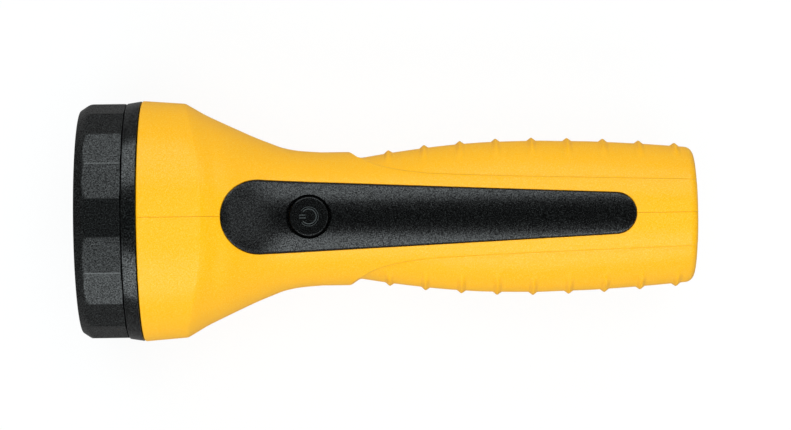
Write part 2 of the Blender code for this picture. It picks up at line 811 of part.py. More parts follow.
def make_screw_cutters(side):
    """Counterbored holes on one side and blind holes on the other."""
    cutters = []
    shank = screw_shank_radius + seat_gap
    head = screw_head_radius + seat_gap
    for i, (station, height) in enumerate(screw_places):
        if side < 0:
            profile = [(0, -overrun), (shank, -overrun), (shank, screw_head_seat), (head, screw_head_seat),
                       (head, reach), (0, reach)]
        else:
            depth = screw_shank_length - screw_head_seat + seat_gap
            profile = [(0, -overrun), (shank, -overrun), (shank, depth), (0, depth)]
        cutters.append(turned(f"screw_hole_{i + 1}_{side}", profile, 12,
                              frame=across_frame(station, height, side)))
    return cutters


def make_housing(name, side, material, shared_cutters):
    """Half shell on one side of the upright parting plane."""
    rings = []
    for station in housing_stations():
        ring = [(x, side * max(across, parting_gap / 2), up) for x, across, up in section(station)]
        if station == housing_front:
            ring = [(x, across * (1 - mouth_edge / mouth_radius), up * (1 - mouth_edge / mouth_radius))
                    for x, across, up in ring]
            ring[0] = (ring[0][0], side * parting_gap / 2, ring[0][2])
            ring[-1] = (ring[-1][0], side * parting_gap / 2, ring[-1][2])
        rings.append(ring)
    shell = lofted(name, rings, material)
    for cutter in shared_cutters + make_screw_cutters(side):
        cut(shell, cutter, solver="MANIFOLD")
    return shell


def make_panel(material):
    """Inlaid panel with a rounded edge and the button's hole."""
    panel = lofted("switch_panel", panel_rings(0, panel_proud, panel_thickness - panel_proud,
                                               panel_edge_radius), material)
    cut(panel, turned("panel_hole", [(0, 0), (button_hole_radius, 0), (button_hole_radius, reach),
                                     (0, reach)], 28, frame=upright_frame(button_station)))
    return panel


def button_levels():
    """Heights of the button's crown, flange and stem end."""
    surface = top_height(button_station, 0)
    crown = surface + panel_proud + button_crown
    panel_low = min(top_height(button_station + button_flange_radius, 0),
                    top_height(button_station, button_flange_radius))
    flange_top = panel_low - panel_thickness + panel_proud - slide_gap
    stem_end = switch_board_top + seat_gap + switch_height + plunger_stick_out + seat_gap
    return crown, flange_top, stem_end


def make_button(material):
    """Push button with a raised rim, a dished top, a holding flange and a stem."""
    crown, flange_top, stem_end = button_levels()
    inner = button_radius - button_rim_width
    flange_low = flange_top - button_flange_thickness
    profile = [(0, crown - button_dish), (inner - button_dish, crown - button_dish), (inner, crown),
               (button_radius - button_dish, crown), (button_radius, crown - button_dish),
               (button_radius, flange_top), (button_flange_radius, flange_top),
               (button_flange_radius, flange_low), (button_stem_radius, flange_low),
               (button_stem_radius, stem_end), (0, stem_end)]
    return turned("power_button", profile, 28, material, (along(button_station), 0, crown),
                  upright_frame(button_station))


def make_button_well():
    """Room under the panel for the button's flange and its travel."""
    radius = button_flange_radius + slide_gap
    return turned("button_well", [(0, 0), (radius, 0), (radius, reach), (0, reach)], 28,
                  frame=upright_frame(button_station))


def make_switch(plastic, metal, board):
    """Push switch on its board, with its moving plunger."""
    bottom = switch_board_top + seat_gap
    top = bottom + switch_height
    half = switch_size / 2
    body = box("switch_body", (button_station - half, -half, bottom), (button_station + half, half, top),
               plastic, edge=seat_gap)
    bore = plunger_radius + slide_gap
    floor = top - plunger_depth - button_travel
    cut(body, turned("switch_bore", [(0, floor), (bore, floor), (bore, top + overrun),
                                     (0, top + overrun)], 16, frame=upright_frame(button_station)))
    low, high = top - plunger_depth + seat_gap, top + plunger_stick_out
    turned("switch_plunger", [(0, low), (plunger_radius, low), (plunger_radius, high), (0, high)], 16,
           metal, (along(button_station), 0, high), upright_frame(button_station))
    front, rear = board_span()
    box("switch_board", (front, -switch_board_half_width, switch_board_top - board_thickness),
        (rear, switch_board_half_width, switch_board_top), board)


def board_span():
    """Stations of both boards' ends, inside the slots of their webs."""
    return board_web_front_station + board_end_reach, board_web_rear_station + web_thickness - board_end_reach


def make_light(board, metal, emitter):
    """Round board with its light source and the heat sink behind it."""
    rear = led_board_front + led_board_thickness
    turned("led_board", [(0, led_board_front), (led_board_radius, led_board_front),
                         (led_board_radius, rear), (0, rear)], 24, board)
    base = led_board_front - seat_gap
    shoulder = base - led_base_height
    dome = [(led_dome_radius * math.sin(math.radians(a)), shoulder - led_dome_radius
             * math.cos(math.radians(a))) for a in (0, 30, 60, 90)]
    turned("led_emitter", dome + [(led_base_radius, shoulder), (led_base_radius, base), (0, base)], 16,
           emitter)
    profile = [(0, sink_front), (sink_radius, sink_front)]
    core = sink_radius - sink_groove_depth
    pitch = sink_length / (sink_groove_count + 1)
    for i in range(sink_groove_count):
        start = sink_front + pitch * (i + 1) - sink_groove_width / 2
        end = start + sink_groove_width
        profile += [(sink_radius, start), (core, start), (core, end), (sink_radius, end)]
    rear = sink_front + sink_length
    turned("heat_sink", profile + [(sink_radius, rear), (0, rear)], 24, metal)


def make_battery(case, metal, foam):
    """Battery block with its two terminals and the pad that presses it forward."""
    rear = battery_station + battery_length
    box("battery_block", (battery_station, -battery_half_width, -battery_half_height),
        (rear, battery_half_width, battery_half_height), case, edge=battery_edge)
    pad_front = rear + seat_gap
    inset = battery_edge
    box("battery_foam_pad", (pad_front, inset - battery_half_width, inset - battery_half_height),
        (pad_front + pad_thickness, battery_half_width - inset, battery_half_height - inset), foam)
    low = battery_half_height + seat_gap
    for name, side in (("positive", 1), ("negative", -1)):
        middle = side * battery_half_width / 2
        front = rear - battery_edge - terminal_length
        box("battery_terminal_" + name, (front, middle - terminal_width / 2, low),
            (front + terminal_length, middle + terminal_width / 2, low + terminal_thickness), metal)


def make_charger(board, capacitor_case, rectifier_case):
    """Charging board with its dropper capacitor and rectifier."""
    front, rear = board_span()
    box("charge_board", (front, -charge_board_half_width, charge_board_top - board_thickness),
        (rear, charge_board_half_width, charge_board_top), board)
    bottom = charge_board_top + seat_gap
    middle = (board_web_front_station + web_thickness + board_web_rear_station) / 2
    box("dropper_capacitor", (middle - capacitor_length / 2, -capacitor_width - seat_gap, bottom),
        (middle + capacitor_length / 2, -seat_gap, bottom + capacitor_height), capacitor_case,
        edge=capacitor_edge)
    offset = charge_board_half_width / 2
    turned("rectifier", [(0, bottom), (rectifier_radius, bottom), (rectifier_radius,
                         bottom + rectifier_height), (0, bottom + rectifier_height)], 16, rectifier_case,
           frame=upright_frame(middle, offset))


def make_plug(plastic, brass, knob_plastic):
    """Plug carriage with two flat prongs and the thumb slide that moves it."""
    origin = (along(carriage_station), 0, 0)
    carriage = box("plug_carriage", (carriage_station, -carriage_half_width, -carriage_half_height),
                   (carriage_front_end, carriage_half_width, carriage_half_height), plastic,
                   edge=carriage_edge, origin=origin)
    tip = overall_length - prong_setback
    tail = carriage_station - prong_tail
    half_tall = prong_height / 2
    for name, side in (("left", 1), ("right", -1)):
        middle = side * prong_spacing / 2
        low, high = middle - prong_thickness / 2, middle + prong_thickness / 2
        rings = []
        for station, chamfer in ((tail, 0), (tip - prong_tip_chamfer, 0), (tip, prong_tip_chamfer)):
            rings.append([(along(station), low + chamfer, chamfer - half_tall),
                          (along(station), high - chamfer, chamfer - half_tall),
                          (along(station), high - chamfer, half_tall - chamfer),
                          (along(station), low + chamfer, half_tall - chamfer)])
        lofted("prong_" + name, rings, brass, origin)
        cut(carriage, box("prong_seat_" + name, (tail - overrun, low - seat_gap, -half_tall - seat_gap),
                          (tip, high + seat_gap, half_tall + seat_gap)))
    middle = carriage_station + carriage_length / 2
    knob_low = -knob_top - knob_thickness
    knob = box("slider_knob", (middle - knob_length / 2, -knob_half_width, knob_low),
               (middle + knob_length / 2, knob_half_width, -knob_top), knob_plastic, edge=knob_edge,
               origin=origin)
    half_neck = slider_neck_length / 2
    neck = box("slider_neck", (middle - half_neck, -slider_neck_half_width, -knob_top - knob_edge),
               (middle + half_neck, slider_neck_half_width, -carriage_half_height - seat_gap))
    cut(knob, neck, "UNION")
    pitch = (knob_length - 2 * knob_edge) / (knob_groove_count + 1)
    for i in range(knob_groove_count):
        station = middle - knob_length / 2 + knob_edge + pitch * (i + 1)
        cut(knob, box(f"knob_groove_{i + 1}", (station - knob_groove_width / 2, -reach, -reach),
                      (station + knob_groove_width / 2, reach, knob_low + knob_groove_depth)))


def make_contacts(metal):
    """Strips under the upper rails that the prongs' carriage meets when the plug is out."""
    rear = overall_length - tail_wall - contact_setback
    low = carriage_half_height + slide_gap
    for name, side in (("left", 1), ("right", -1)):
        inner, outer = sorted((side * contact_inner, side * contact_outer))
        box("charge_contact_" + name, (rear - contact_length, inner, low),
            (rear, outer, low + contact_thickness), metal)


def make_screws(metal):
    """Pan-head screws along Y, heads on the right side."""
    for i, (station, height) in enumerate(screw_places):
        head_top = screw_head_seat + seat_gap + screw_head_height
        under = screw_head_seat + seat_gap
        end = under - screw_shank_length
        profile = [(0, head_top - screw_drive_depth), (screw_drive_radius, head_top - screw_drive_depth),
                   (screw_drive_radius, head_top), (screw_head_radius - screw_drive_depth, head_top),
                   (screw_head_radius, under + screw_drive_depth), (screw_head_radius, under),
                   (screw_shank_radius, under), (screw_shank_radius, end + screw_point_length), (0, end)]
        turned(f"housing_screw_{i + 1}", profile, 12, metal, frame=across_frame(station, height, -1))


def main():
    """Build every piece."""
    for old in list(bpy.data.objects):
        bpy.data.objects.remove(old)
    yellow = new_material("yellow moulded plastic", (0.98, 0.48, 0.01), 0.42)
    black = new_material("black textured plastic", (0.012, 0.012, 0.013), 0.45)
    clear = new_material("clear lens plastic", (0.95, 0.97, 1.0), 0.03, transmission=0.9)
    rubber = new_material("black rubber", (0.02, 0.02, 0.02), 0.7)
    mirror = new_material("metallised reflector", (0.9, 0.9, 0.92), 0.06, 1.0)
    aluminium = new_material("cast aluminium", (0.75, 0.76, 0.78), 0.35, 1.0)
    steel = new_material("zinc plated steel", (0.7, 0.7, 0.68), 0.3, 1.0)
    brass = new_material("nickel plated brass", (0.83, 0.8, 0.72), 0.22, 1.0)
    board = new_material("circuit board", (0.02, 0.16, 0.06), 0.4)
    emitter = new_material("light source", (0.95, 0.85, 0.35), 0.3)
    case = new_material("grey battery case", (0.12, 0.12, 0.13), 0.5)
    foam = new_material("foam pad", (0.05, 0.05, 0.05), 0.9)
    film = new_material("capacitor case", (0.55, 0.05, 0.03), 0.35)
    cutters = [make_cavity(), make_recess(), make_button_well()] + make_tail_cutters()
    make_housing("housing_left", 1, yellow, cutters)
    make_housing("housing_right", -1, yellow, cutters)
    make_bezel(black)
    make_lens(clear)
    make_seal(rubber)
    make_reflector(mirror)
    make_collar(black)
    make_panel(black)
    make_button(black)
    make_switch(black, steel, board)
    make_light(board, aluminium, emitter)
    make_battery(case, steel, foam)
    make_charger(board, film, black)
    make_plug(black, brass, black)
    make_contacts(brass)
    make_screws(steel)


main()
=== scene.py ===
"""Looks of the rechargeable flashlight: yellow moulded shells, faceted black head ring and inlaid panel.

Stations are distances behind the front rim, in metres. The lamp lies along X with its head towards -X,
its push button up (+Z) and the origin on its axis, halfway along.
"""
from __future__ import annotations

import logging
import math
from dataclasses import dataclass, field
from enum import Enum
from typing import Callable, Iterable, Sequence

import bmesh
import bpy
from bpy.types import Material, Node, NodeSocket, NodeTree, Object
from mathutils import Matrix, Vector


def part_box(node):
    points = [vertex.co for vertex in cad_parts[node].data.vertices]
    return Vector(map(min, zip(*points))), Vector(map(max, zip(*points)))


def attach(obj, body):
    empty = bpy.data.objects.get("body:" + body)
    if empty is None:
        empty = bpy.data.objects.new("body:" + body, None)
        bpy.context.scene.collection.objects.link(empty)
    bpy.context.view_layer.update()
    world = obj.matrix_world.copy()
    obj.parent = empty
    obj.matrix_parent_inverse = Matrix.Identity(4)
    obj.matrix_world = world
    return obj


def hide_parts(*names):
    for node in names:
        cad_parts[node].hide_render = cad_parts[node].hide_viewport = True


log = logging.getLogger("flashlight")

MM = 0.001
WHITE = (1.0, 1.0, 1.0, 1.0)
Point = tuple[float, float, float]
Flat = tuple[float, float]
Profile = list[Flat]
Shares = tuple[Flat, ...]


class Side(Enum):
    """Half of the lamp, seen from behind with the button up."""

    LEFT = 1
    RIGHT = -1


class Body(str, Enum):
    """Rigid bodies of the frame that pieces ride on."""

    HOUSING = "housing"
    LENS_PACK = "lens_pack"
    BEZEL = "bezel"
    BUTTON = "button"


# Shader helpers

def linear(hex_color: str) -> tuple[float, float, float, float]:
    """Turn an sRGB hex colour into linear red, green, blue and alpha.

    Args:
        hex_color: Colour as "#RRGGBB".

    Returns:
        Linear colour with alpha 1.
    """
    values = [int(hex_color[i:i + 2], 16) / 255 for i in (1, 3, 5)]
    red, green, blue = (v / 12.92 if v <= 0.04045 else ((v + 0.055) / 1.055) ** 2.4 for v in values)
    return red, green, blue, 1.0


def add_node(tree: NodeTree, kind: str, settings: dict | None = None,
             links: dict | None = None) -> Node:
    """Add a shader node with its settings and incoming links.

    Args:
        tree: Node tree that gets the node.
        kind: Node type, such as ShaderNodeBump.
        settings: Attribute names or input names and their values.
        links: Input names or numbers and the output sockets that feed them.

    Returns:
        The new node.
    """
    node = tree.nodes.new(kind)
    for key, value in (settings or {}).items():
        if isinstance(key, str) and hasattr(node, key):
            setattr(node, key, value)
        else:
            node.inputs[key].default_value = value
    for key, source in (links or {}).items():
        tree.links.new(source, node.inputs[key])
    return node


class Recipe:
    """Node material in the making, with its patterns in real sizes on object coordinates."""

    def __init__(self, name: str) -> None:
        """Start the material."""
        self.material = bpy.data.materials.new(name)
        self.material.use_nodes = True
        self.tree = self.material.node_tree
        self.place = self.add("TexCoord").outputs["Object"]

    def add(self, kind: str, settings: dict | None = None, **links: NodeSocket) -> Node:
        """Add a node of this material."""
        return add_node(self.tree, "ShaderNode" + kind, settings, links)

    def noise(self, size: float, detail: float, roughness: float = 0.5,
              place: NodeSocket | None = None) -> NodeSocket:
        """Noise between 0 and 1 whose features have a size in metres."""
        settings = {"Scale": 1 / size, "Detail": detail, "Roughness": roughness}
        return self.add("TexNoise", settings, Vector=place or self.place).outputs["Fac"]

    def cells(self, size: float, **settings: str | float) -> NodeSocket:
        """Distance to the nearest cell centre, with cells of a size in metres."""
        settings["Scale"] = 1 / size
        return self.add("TexVoronoi", settings, Vector=self.place).outputs["Distance"]

    def ramp(self, value: NodeSocket, start: float, end: float, low: float = 0.0,
             high: float = 1.0) -> NodeSocket:
        """Value rescaled so that start gives low and end gives high, held beyond them."""
        settings = {"From Min": start, "From Max": end, "To Min": low, "To Max": high}
        return self.add("MapRange", settings, Value=value).outputs["Result"]

    def mix(self, share: NodeSocket, first: str, second: str) -> NodeSocket:
        """Colour between two hex colours."""
        settings = {"data_type": "RGBA", 6: linear(first), 7: linear(second)}
        return self.add("Mix", settings, Factor=share).outputs[2]

    def bump(self, height: NodeSocket, distance: float, strength: float = 1.0, invert: bool = False,
             **links: NodeSocket) -> NodeSocket:
        """Normal disturbed by a height pattern whose depth is in metres."""
        settings = {"Strength": strength, "Distance": distance, "invert": invert}
        return self.add("Bump", settings, Height=height, **links).outputs["Normal"]

    def finish(self, inputs: dict[str, NodeSocket | float | tuple]) -> Material:
        """Feed the Principled shader with sockets and constants.

        Args:
            inputs: Input names and what each gets.

        Returns:
            The finished material.
        """
        shader = self.tree.nodes["Principled BSDF"]
        for name, source in inputs.items():
            if isinstance(source, NodeSocket):
                self.tree.links.new(source, shader.inputs[name])
            else:
                shader.inputs[name].default_value = source
        return self.material


@dataclass(frozen=True)
class MouldedPlastic:
    """Injection-moulded ABS whose mould was spark-eroded or polished.

    A spark-eroded mould leaves fine pits that break the highlight into a soft sheen with tiny sparkles;
    a polished one leaves long clean reflections with a faint orange peel.
    """

    name: str
    color: str
    speck_color: str
    roughness: float
    grain: float = 0.45 * MM
    grain_depth: float = 0.02 * MM
    ripple: float = 9.0 * MM
    ripple_depth: float = 0.01 * MM
    speck_share: float = 0.25
    speck_floor: float = 0.52
    specular: float = 0.5
    sheen_contrast: float = 0.5

    def build(self) -> Material:
        """Make the material: mottled colour, pitted bump, uneven roughness and sheen."""
        recipe = Recipe(self.name)
        pits = recipe.noise(self.grain, 3.0, 0.7)
        specks = recipe.ramp(pits, self.speck_floor, 0.72, 0.0, self.speck_share)
        waves = recipe.bump(recipe.noise(self.ripple, 1.0), self.ripple_depth)
        swing = self.specular * self.sheen_contrast
        return recipe.finish({
            "Base Color": recipe.mix(specks, self.color, self.speck_color),
            "Roughness": recipe.ramp(pits, 0.3, 0.7, self.roughness - 0.05, self.roughness + 0.07),
            "Normal": recipe.bump(pits, self.grain_depth, Normal=waves),
            "Specular IOR Level": recipe.ramp(pits, 0.38, 0.66, self.specular - swing, self.specular + swing),
            "IOR": 1.5})


@dataclass(frozen=True)
class ClearAcrylic:
    """Polished clear acrylic: see-through, with a faint cool tint and hair-fine wiping marks."""

    name: str
    color: str = "#F2F8FC"
    roughness: float = 0.02
    scratch: float = 1.2 * MM

    def build(self) -> Material:
        """Make the material."""
        recipe = Recipe(self.name)
        haze = recipe.noise(self.scratch, 3.0)
        return recipe.finish({
            "Base Color": linear(self.color),
            "Roughness": recipe.ramp(haze, 0.4, 0.8, self.roughness, self.roughness + 0.03),
            "IOR": 1.49,
            "Transmission Weight": 1.0})


@dataclass(frozen=True)
class BareMetal:
    """Metal surface, plated, turned or metallised: its colour sits in the reflection.

    Fine streaks or a slight waviness keep the reflection from looking computer-clean.
    """

    name: str
    color: str
    worn_color: str
    roughness: float
    streak: tuple[float, float, float] = (1.0 * MM, 1.0 * MM, 1.0 * MM)
    relief: float = 0.004 * MM

    def build(self) -> Material:
        """Make the material."""
        recipe = Recipe(self.name)
        scaled = recipe.add("Mapping", {"Scale": tuple(1 / size for size in self.streak)}, Vector=recipe.place)
        streaks = recipe.noise(1.0, 3.0, place=scaled.outputs["Vector"])
        smoothest, roughest = max(self.roughness - 0.04, 0.02), self.roughness + 0.06
        return recipe.finish({
            "Base Color": recipe.mix(streaks, self.color, self.worn_color),
            "Roughness": recipe.ramp(streaks, 0.0, 1.0, smoothest, roughest),
            "Normal": recipe.bump(streaks, self.relief),
            "Metallic": 1.0})


@dataclass(frozen=True)
class SoftPolymer:
    """Rubber, foam, silicone or cable insulation: soft sheen with a fine uneven surface."""

    name: str
    color: str
    shade: str
    roughness: float
    pore: float
    pore_depth: float

    def build(self) -> Material:
        """Make the material."""
        recipe = Recipe(self.name)
        pores = recipe.cells(self.pore)
        return recipe.finish({
            "Base Color": recipe.mix(pores, self.shade, self.color),
            "Roughness": self.roughness,
            "Normal": recipe.bump(pores, self.pore_depth)})


@dataclass(frozen=True)
class CircuitLaminate:
    """Glass-fibre laminate under green solder mask, with lighter copper runs showing through."""

    name: str
    mask: str = "#0F4A2A"
    copper: str = "#2C7A45"
    run_pitch: float = 2.4 * MM
    run_relief: float = 0.035 * MM

    def build(self) -> Material:
        """Make the material."""
        recipe = Recipe(self.name)
        edge = recipe.ramp(recipe.cells(self.run_pitch, distance="CHEBYCHEV", Randomness=0.7), 0.28, 0.34)
        return recipe.finish({
            "Base Color": recipe.mix(edge, self.copper, self.mask),
            "Roughness": 0.32,
            "Normal": recipe.bump(edge, self.run_relief, strength=0.6, invert=True)})


@dataclass(frozen=True)
class Finishes:
    """Every finish of the lamp."""

    yellow_shell: MouldedPlastic = MouldedPlastic(
        "yellow ABS, spark-eroded mould", "#F9B002", "#FFCC30", 0.32, grain=0.38 * MM, grain_depth=0.03 * MM,
        speck_share=0.8, specular=0.4, sheen_contrast=0.8)
    black_satin: MouldedPlastic = MouldedPlastic(
        "black ABS, spark-eroded facets", "#0A0A0A", "#343838", 0.28, grain=0.38 * MM, grain_depth=0.034 * MM,
        speck_share=0.9, specular=0.54, sheen_contrast=0.9)
    black_gloss: MouldedPlastic = MouldedPlastic(
        "black ABS, polished mould", "#080808", "#343838", 0.18, grain=0.4 * MM, grain_depth=0.02 * MM,
        speck_share=0.9, specular=0.6, sheen_contrast=0.95)
    black_texture: MouldedPlastic = MouldedPlastic(
        "black ABS, coarse spark-eroded mould", "#060606", "#242727", 0.26, grain=0.38 * MM,
        grain_depth=0.03 * MM, speck_share=0.8, specular=0.58, sheen_contrast=0.9)
    button_black: MouldedPlastic = MouldedPlastic(
        "black ABS button, fine mould", "#090909", "#262828", 0.3, grain_depth=0.03 * MM, specular=0.4)
    # The grey of the power symbol's raised black lines is a painted highlight on their flanks.
    raised_line: MouldedPlastic = MouldedPlastic(
        "black ABS raised lines, grey as painted highlight", "#484C4C", "#5A5E5E", 0.25, grain_depth=0.01 * MM, specular=0.7)
    worn_edge: MouldedPlastic = MouldedPlastic(
        "black ABS, edge rubbed smooth", "#101111", "#1C1E1E", 0.24, grain_depth=0.006 * MM, specular=0.95,
        sheen_contrast=0.2)
    clear_lens: ClearAcrylic = ClearAcrylic("clear acrylic, polished mould")
    seal_rubber: SoftPolymer = SoftPolymer(
        "black nitrile rubber, moulded", "#1A1A1A", "#0E0E0E", 0.6, 0.8 * MM, 0.01 * MM)
    mirror: BareMetal = BareMetal(
        "aluminium film, vacuum metallised on ABS", "#F0F0F2", "#E4E6EA", 0.06, (6 * MM, 6 * MM, 6 * MM),
        0.01 * MM)
    board: CircuitLaminate = CircuitLaminate("glass-fibre laminate, solder-masked")
    dome: SoftPolymer = SoftPolymer(
        "phosphor silicone, moulded", "#F2D65C", "#E9C63A", 0.25, 0.5 * MM, 0.004 * MM)
    sink: BareMetal = BareMetal(
        "aluminium, turned", "#C9CBCE", "#B4B7BB", 0.3, (0.25 * MM, 4 * MM, 4 * MM), 0.01 * MM)
    zinc: BareMetal = BareMetal("steel, zinc plated", "#C4C4BC", "#A9AAA6", 0.26)
    nickel: BareMetal = BareMetal(
        "brass, nickel plated", "#D9D3C2", "#CFC6AE", 0.28, (5 * MM, 0.4 * MM, 0.4 * MM))
    battery_case: MouldedPlastic = MouldedPlastic("grey ABS battery case, moulded", "#3C3F43", "#484B4F", 0.4)
    foam: SoftPolymer = SoftPolymer("polyethylene foam, cut", "#2E2E30", "#141415", 0.9, 0.7 * MM, 0.25 * MM)
    film: SoftPolymer = SoftPolymer("epoxy coating, dipped", "#8E2A1C", "#7A2014", 0.22, 3.0 * MM, 0.05 * MM)


@dataclass
class Wardrobe:
    """Materials built once and handed to the pieces."""

    finishes: Finishes = field(default_factory=Finishes)
    made: dict[str, Material] = field(default_factory=dict)

    def get(self, name: str) -> Material:
        """Material of a finish, built at its first use."""
        if name not in self.made:
            self.made[name] = getattr(self.finishes, name).build()
        return self.made[name]


# Mesh helpers

OVERALL_LENGTH = 195.0 * MM
BUTTON_STATION = 72.9 * MM


def along(station: float) -> float:
    """World X of a station."""
    return station - OVERALL_LENGTH / 2


def smooth_value(shares: Shares, place: float) -> float:
    """Value at a place on a smooth curve, without overshoot, through chosen points.

    Args:
        shares: Points as (place, value), in order of place.
        place: Where the value is wanted.

    Returns:
        The value.
    """
    if place <= shares[0][0]:
        return shares[0][1]
    if place >= shares[-1][0]:
        return shares[-1][1]
    slopes = [(b[1] - a[1]) / (b[0] - a[0]) for a, b in zip(shares, shares[1:])]
    tangents = [slopes[0]]
    for before, after in zip(slopes, slopes[1:]):
        tangents.append(0 if before * after <= 0 else 2 * before * after / (before + after))
    tangents.append(slopes[-1])
    index = max(i for i, point in enumerate(shares[:-1]) if point[0] <= place)
    (start, low), (end, high) = shares[index], shares[index + 1]
    span, rise = end - start, high - low
    t = (place - start) / span
    first, last = tangents[index] * span, tangents[index + 1] * span
    return low + t * (first + t * (3 * rise - 2 * first - last + t * (first + last - 2 * rise)))


def ease(value: float) -> float:
    """Smooth step from 0 to 1."""
    t = min(max(value, 0.0), 1.0)
    return t * t * (3 - 2 * t)


def spread(first: float, last: float, step: float) -> list[float]:
    """Evenly spaced values from first to last, at most a step apart."""
    count = max(1, math.ceil((last - first) / step))
    return [first + (last - first) * i / count for i in range(count + 1)]


def bend(start: Flat, corner: Flat, end: Flat, share: float) -> Flat:
    """Point at a share of the curve from start to end that a corner pulls towards itself."""
    first, second, third = (1 - share) ** 2, 2 * share * (1 - share), share * share
    return (first * start[0] + second * corner[0] + third * end[0],
            first * start[1] + second * corner[1] + third * end[1])


def rounded(points: Profile, radius: float, steps: int = 5) -> Profile:
    """Round the corners of an open or closed outline.

    Args:
        points: Outline corners; the first and last are kept sharp.
        radius: Largest distance from a corner at which rounding starts.
        steps: Points along each rounded corner, less one.

    Returns:
        The outline with rounded corners.
    """
    made = [points[0]]
    for before, corner, after in zip(points, points[1:], points[2:]):
        back = (before[0] - corner[0], before[1] - corner[1])
        ahead = (after[0] - corner[0], after[1] - corner[1])
        back_length, ahead_length = math.hypot(*back), math.hypot(*ahead)
        reach = min(radius, back_length * 0.45, ahead_length * 0.45)
        start = (corner[0] + back[0] / back_length * reach, corner[1] + back[1] / back_length * reach)
        end = (corner[0] + ahead[0] / ahead_length * reach, corner[1] + ahead[1] / ahead_length * reach)
        made += [bend(start, corner, end, i / steps) for i in range(steps + 1)]
    made.append(points[-1])
    return made


def to_object(name: str, mesh_data: bmesh.types.BMesh, material: Material | None,
              sharp: float = 30) -> Object:
    """Object from a bmesh, with its faces turned out and smooth shading between sharp edges.

    Args:
        name: Piece name.
        mesh_data: Mesh in world coordinates; it is freed.
        material: Material of the piece, if it shows.
        sharp: Edge angle in degrees above which shading breaks.

    Returns:
        The linked object.
    """
    bmesh.ops.recalc_face_normals(mesh_data, faces=mesh_data.faces)
    mesh = bpy.data.meshes.new(name)
    mesh_data.to_mesh(mesh)
    mesh_data.free()
    mesh.shade_smooth()
    mesh.set_sharp_from_angle(angle=math.radians(sharp))
    made = bpy.data.objects.new(name, mesh)
    bpy.context.scene.collection.objects.link(made)
    if material:
        mesh.materials.append(material)
    return made


def lofted(name: str, rings: Sequence[Sequence[Point]], material: Material | None = None) -> Object:
    """Closed body through rings of equally many points, with flat ends."""
    mesh_data = bmesh.new()
    loops = [[mesh_data.verts.new(point) for point in ring] for ring in rings]
    for first, second in zip(loops, loops[1:]):
        for i, vertex in enumerate(first):
            follower = (i + 1) % len(first)
            mesh_data.faces.new((vertex, first[follower], second[follower], second[i]))
    mesh_data.faces.new(loops[0])
    mesh_data.faces.new(loops[-1])
    return to_object(name, mesh_data, material)


Frame = Callable[[float, float, float], Point]


def lamp_frame(distance: float, across: float, up: float) -> Point:
    """Place of a turned point about the lamp's axis."""
    return along(distance), across, up


def upright_frame(station: float) -> Frame:
    """Frame of a body turned about a vertical line at a station."""
    return lambda distance, across, up: (along(station) + across, up, distance)


def across_frame(station: float, height: float) -> Frame:
    """Frame of a body turned about a line along Y, at a station and height."""
    return lambda distance, across, up: (along(station) + across, distance, height + up)


def turned(name: str, profile: Profile, segments: int, material: Material | None = None,
           frame: Frame = lamp_frame) -> Object:
    """Body turned from (radius, distance) points; zero radii at both ends lie on the axis.

    Args:
        name: Piece name.
        profile: Outline, closed by joining its ends unless both lie on the axis.
        segments: Number of steps round.
        material: Material of the piece, if it shows.
        frame: Maps (distance, across, up) to world coordinates.

    Returns:
        The linked object.
    """
    mesh_data = bmesh.new()
    angles = [2 * math.pi * i / segments for i in range(segments)]
    rows = []
    for radius, distance in profile:
        if radius <= 0:
            rows.append([mesh_data.verts.new(frame(distance, 0, 0))])
        else:
            rows.append([mesh_data.verts.new(frame(distance, radius * math.sin(a), radius * math.cos(a)))
                         for a in angles])
    pairs = list(zip(rows, rows[1:]))
    if len(rows[0]) > 1:
        pairs.append((rows[-1], rows[0]))
    for first, second in pairs:
        for i in range(segments):
            corners = [first[i % len(first)], first[(i + 1) % len(first)],
                       second[(i + 1) % len(second)], second[i % len(second)]]
            distinct = list(dict.fromkeys(corners))
            if len(distinct) > 2:
                mesh_data.faces.new(distinct)
    return to_object(name, mesh_data, material)


def block(name: str, low: Point, high: Point) -> Object:
    """Cutting block between two corners given as (station, across, up)."""
    corners = [(low[1], low[2]), (high[1], low[2]), (high[1], high[2]), (low[1], high[2])]
    return lofted(name, [[(along(station), *corner) for corner in corners] for station in (low[0], high[0])])


def carve(piece: Object, cutters: Iterable[Object], sharp: float = 30) -> None:
    """Cut bodies out of a piece and delete them.

    Args:
        piece: Closed mesh that is cut.
        cutters: Closed meshes to take away from it.
        sharp: Edge angle in degrees above which shading breaks afterwards.
    """
    tools = list(cutters)
    for tool in tools:
        modifier = piece.modifiers.new(tool.name, "BOOLEAN")
        modifier.solver = "MANIFOLD"
        modifier.object = tool
    graph = bpy.context.evaluated_depsgraph_get()
    cut_mesh = bpy.data.meshes.new_from_object(piece.evaluated_get(graph))
    piece.modifiers.clear()
    old = piece.data
    piece.data = cut_mesh
    bpy.data.meshes.remove(old)
    for tool in tools:
        mesh = tool.data
        bpy.data.objects.remove(tool)
        bpy.data.meshes.remove(mesh)
    cut_mesh.shade_smooth()
    cut_mesh.set_sharp_from_angle(angle=math.radians(sharp))


def settle(piece: Object, body: Body, slot: str, *nodes: str) -> Object:
    """Attach a piece to its body and let it stand for frame nodes."""
    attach(piece, body.value)
    if nodes:
        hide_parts(*nodes)
    return piece


def dress(node: Object, material: Material, edge: float = 0.0) -> None:
    """Give a carried-over node its material and, if asked, softly rounded edges."""
    node.data.materials.clear()
    node.data.materials.append(material)
    if edge:
        bevel = node.modifiers.new("moulded edge", "BEVEL")
        bevel.width = edge
        bevel.segments = 2
        bevel.limit_method = "ANGLE"
        bevel.angle_limit = math.radians(50)
        bevel.harden_normals = True


# Sub-assemblies

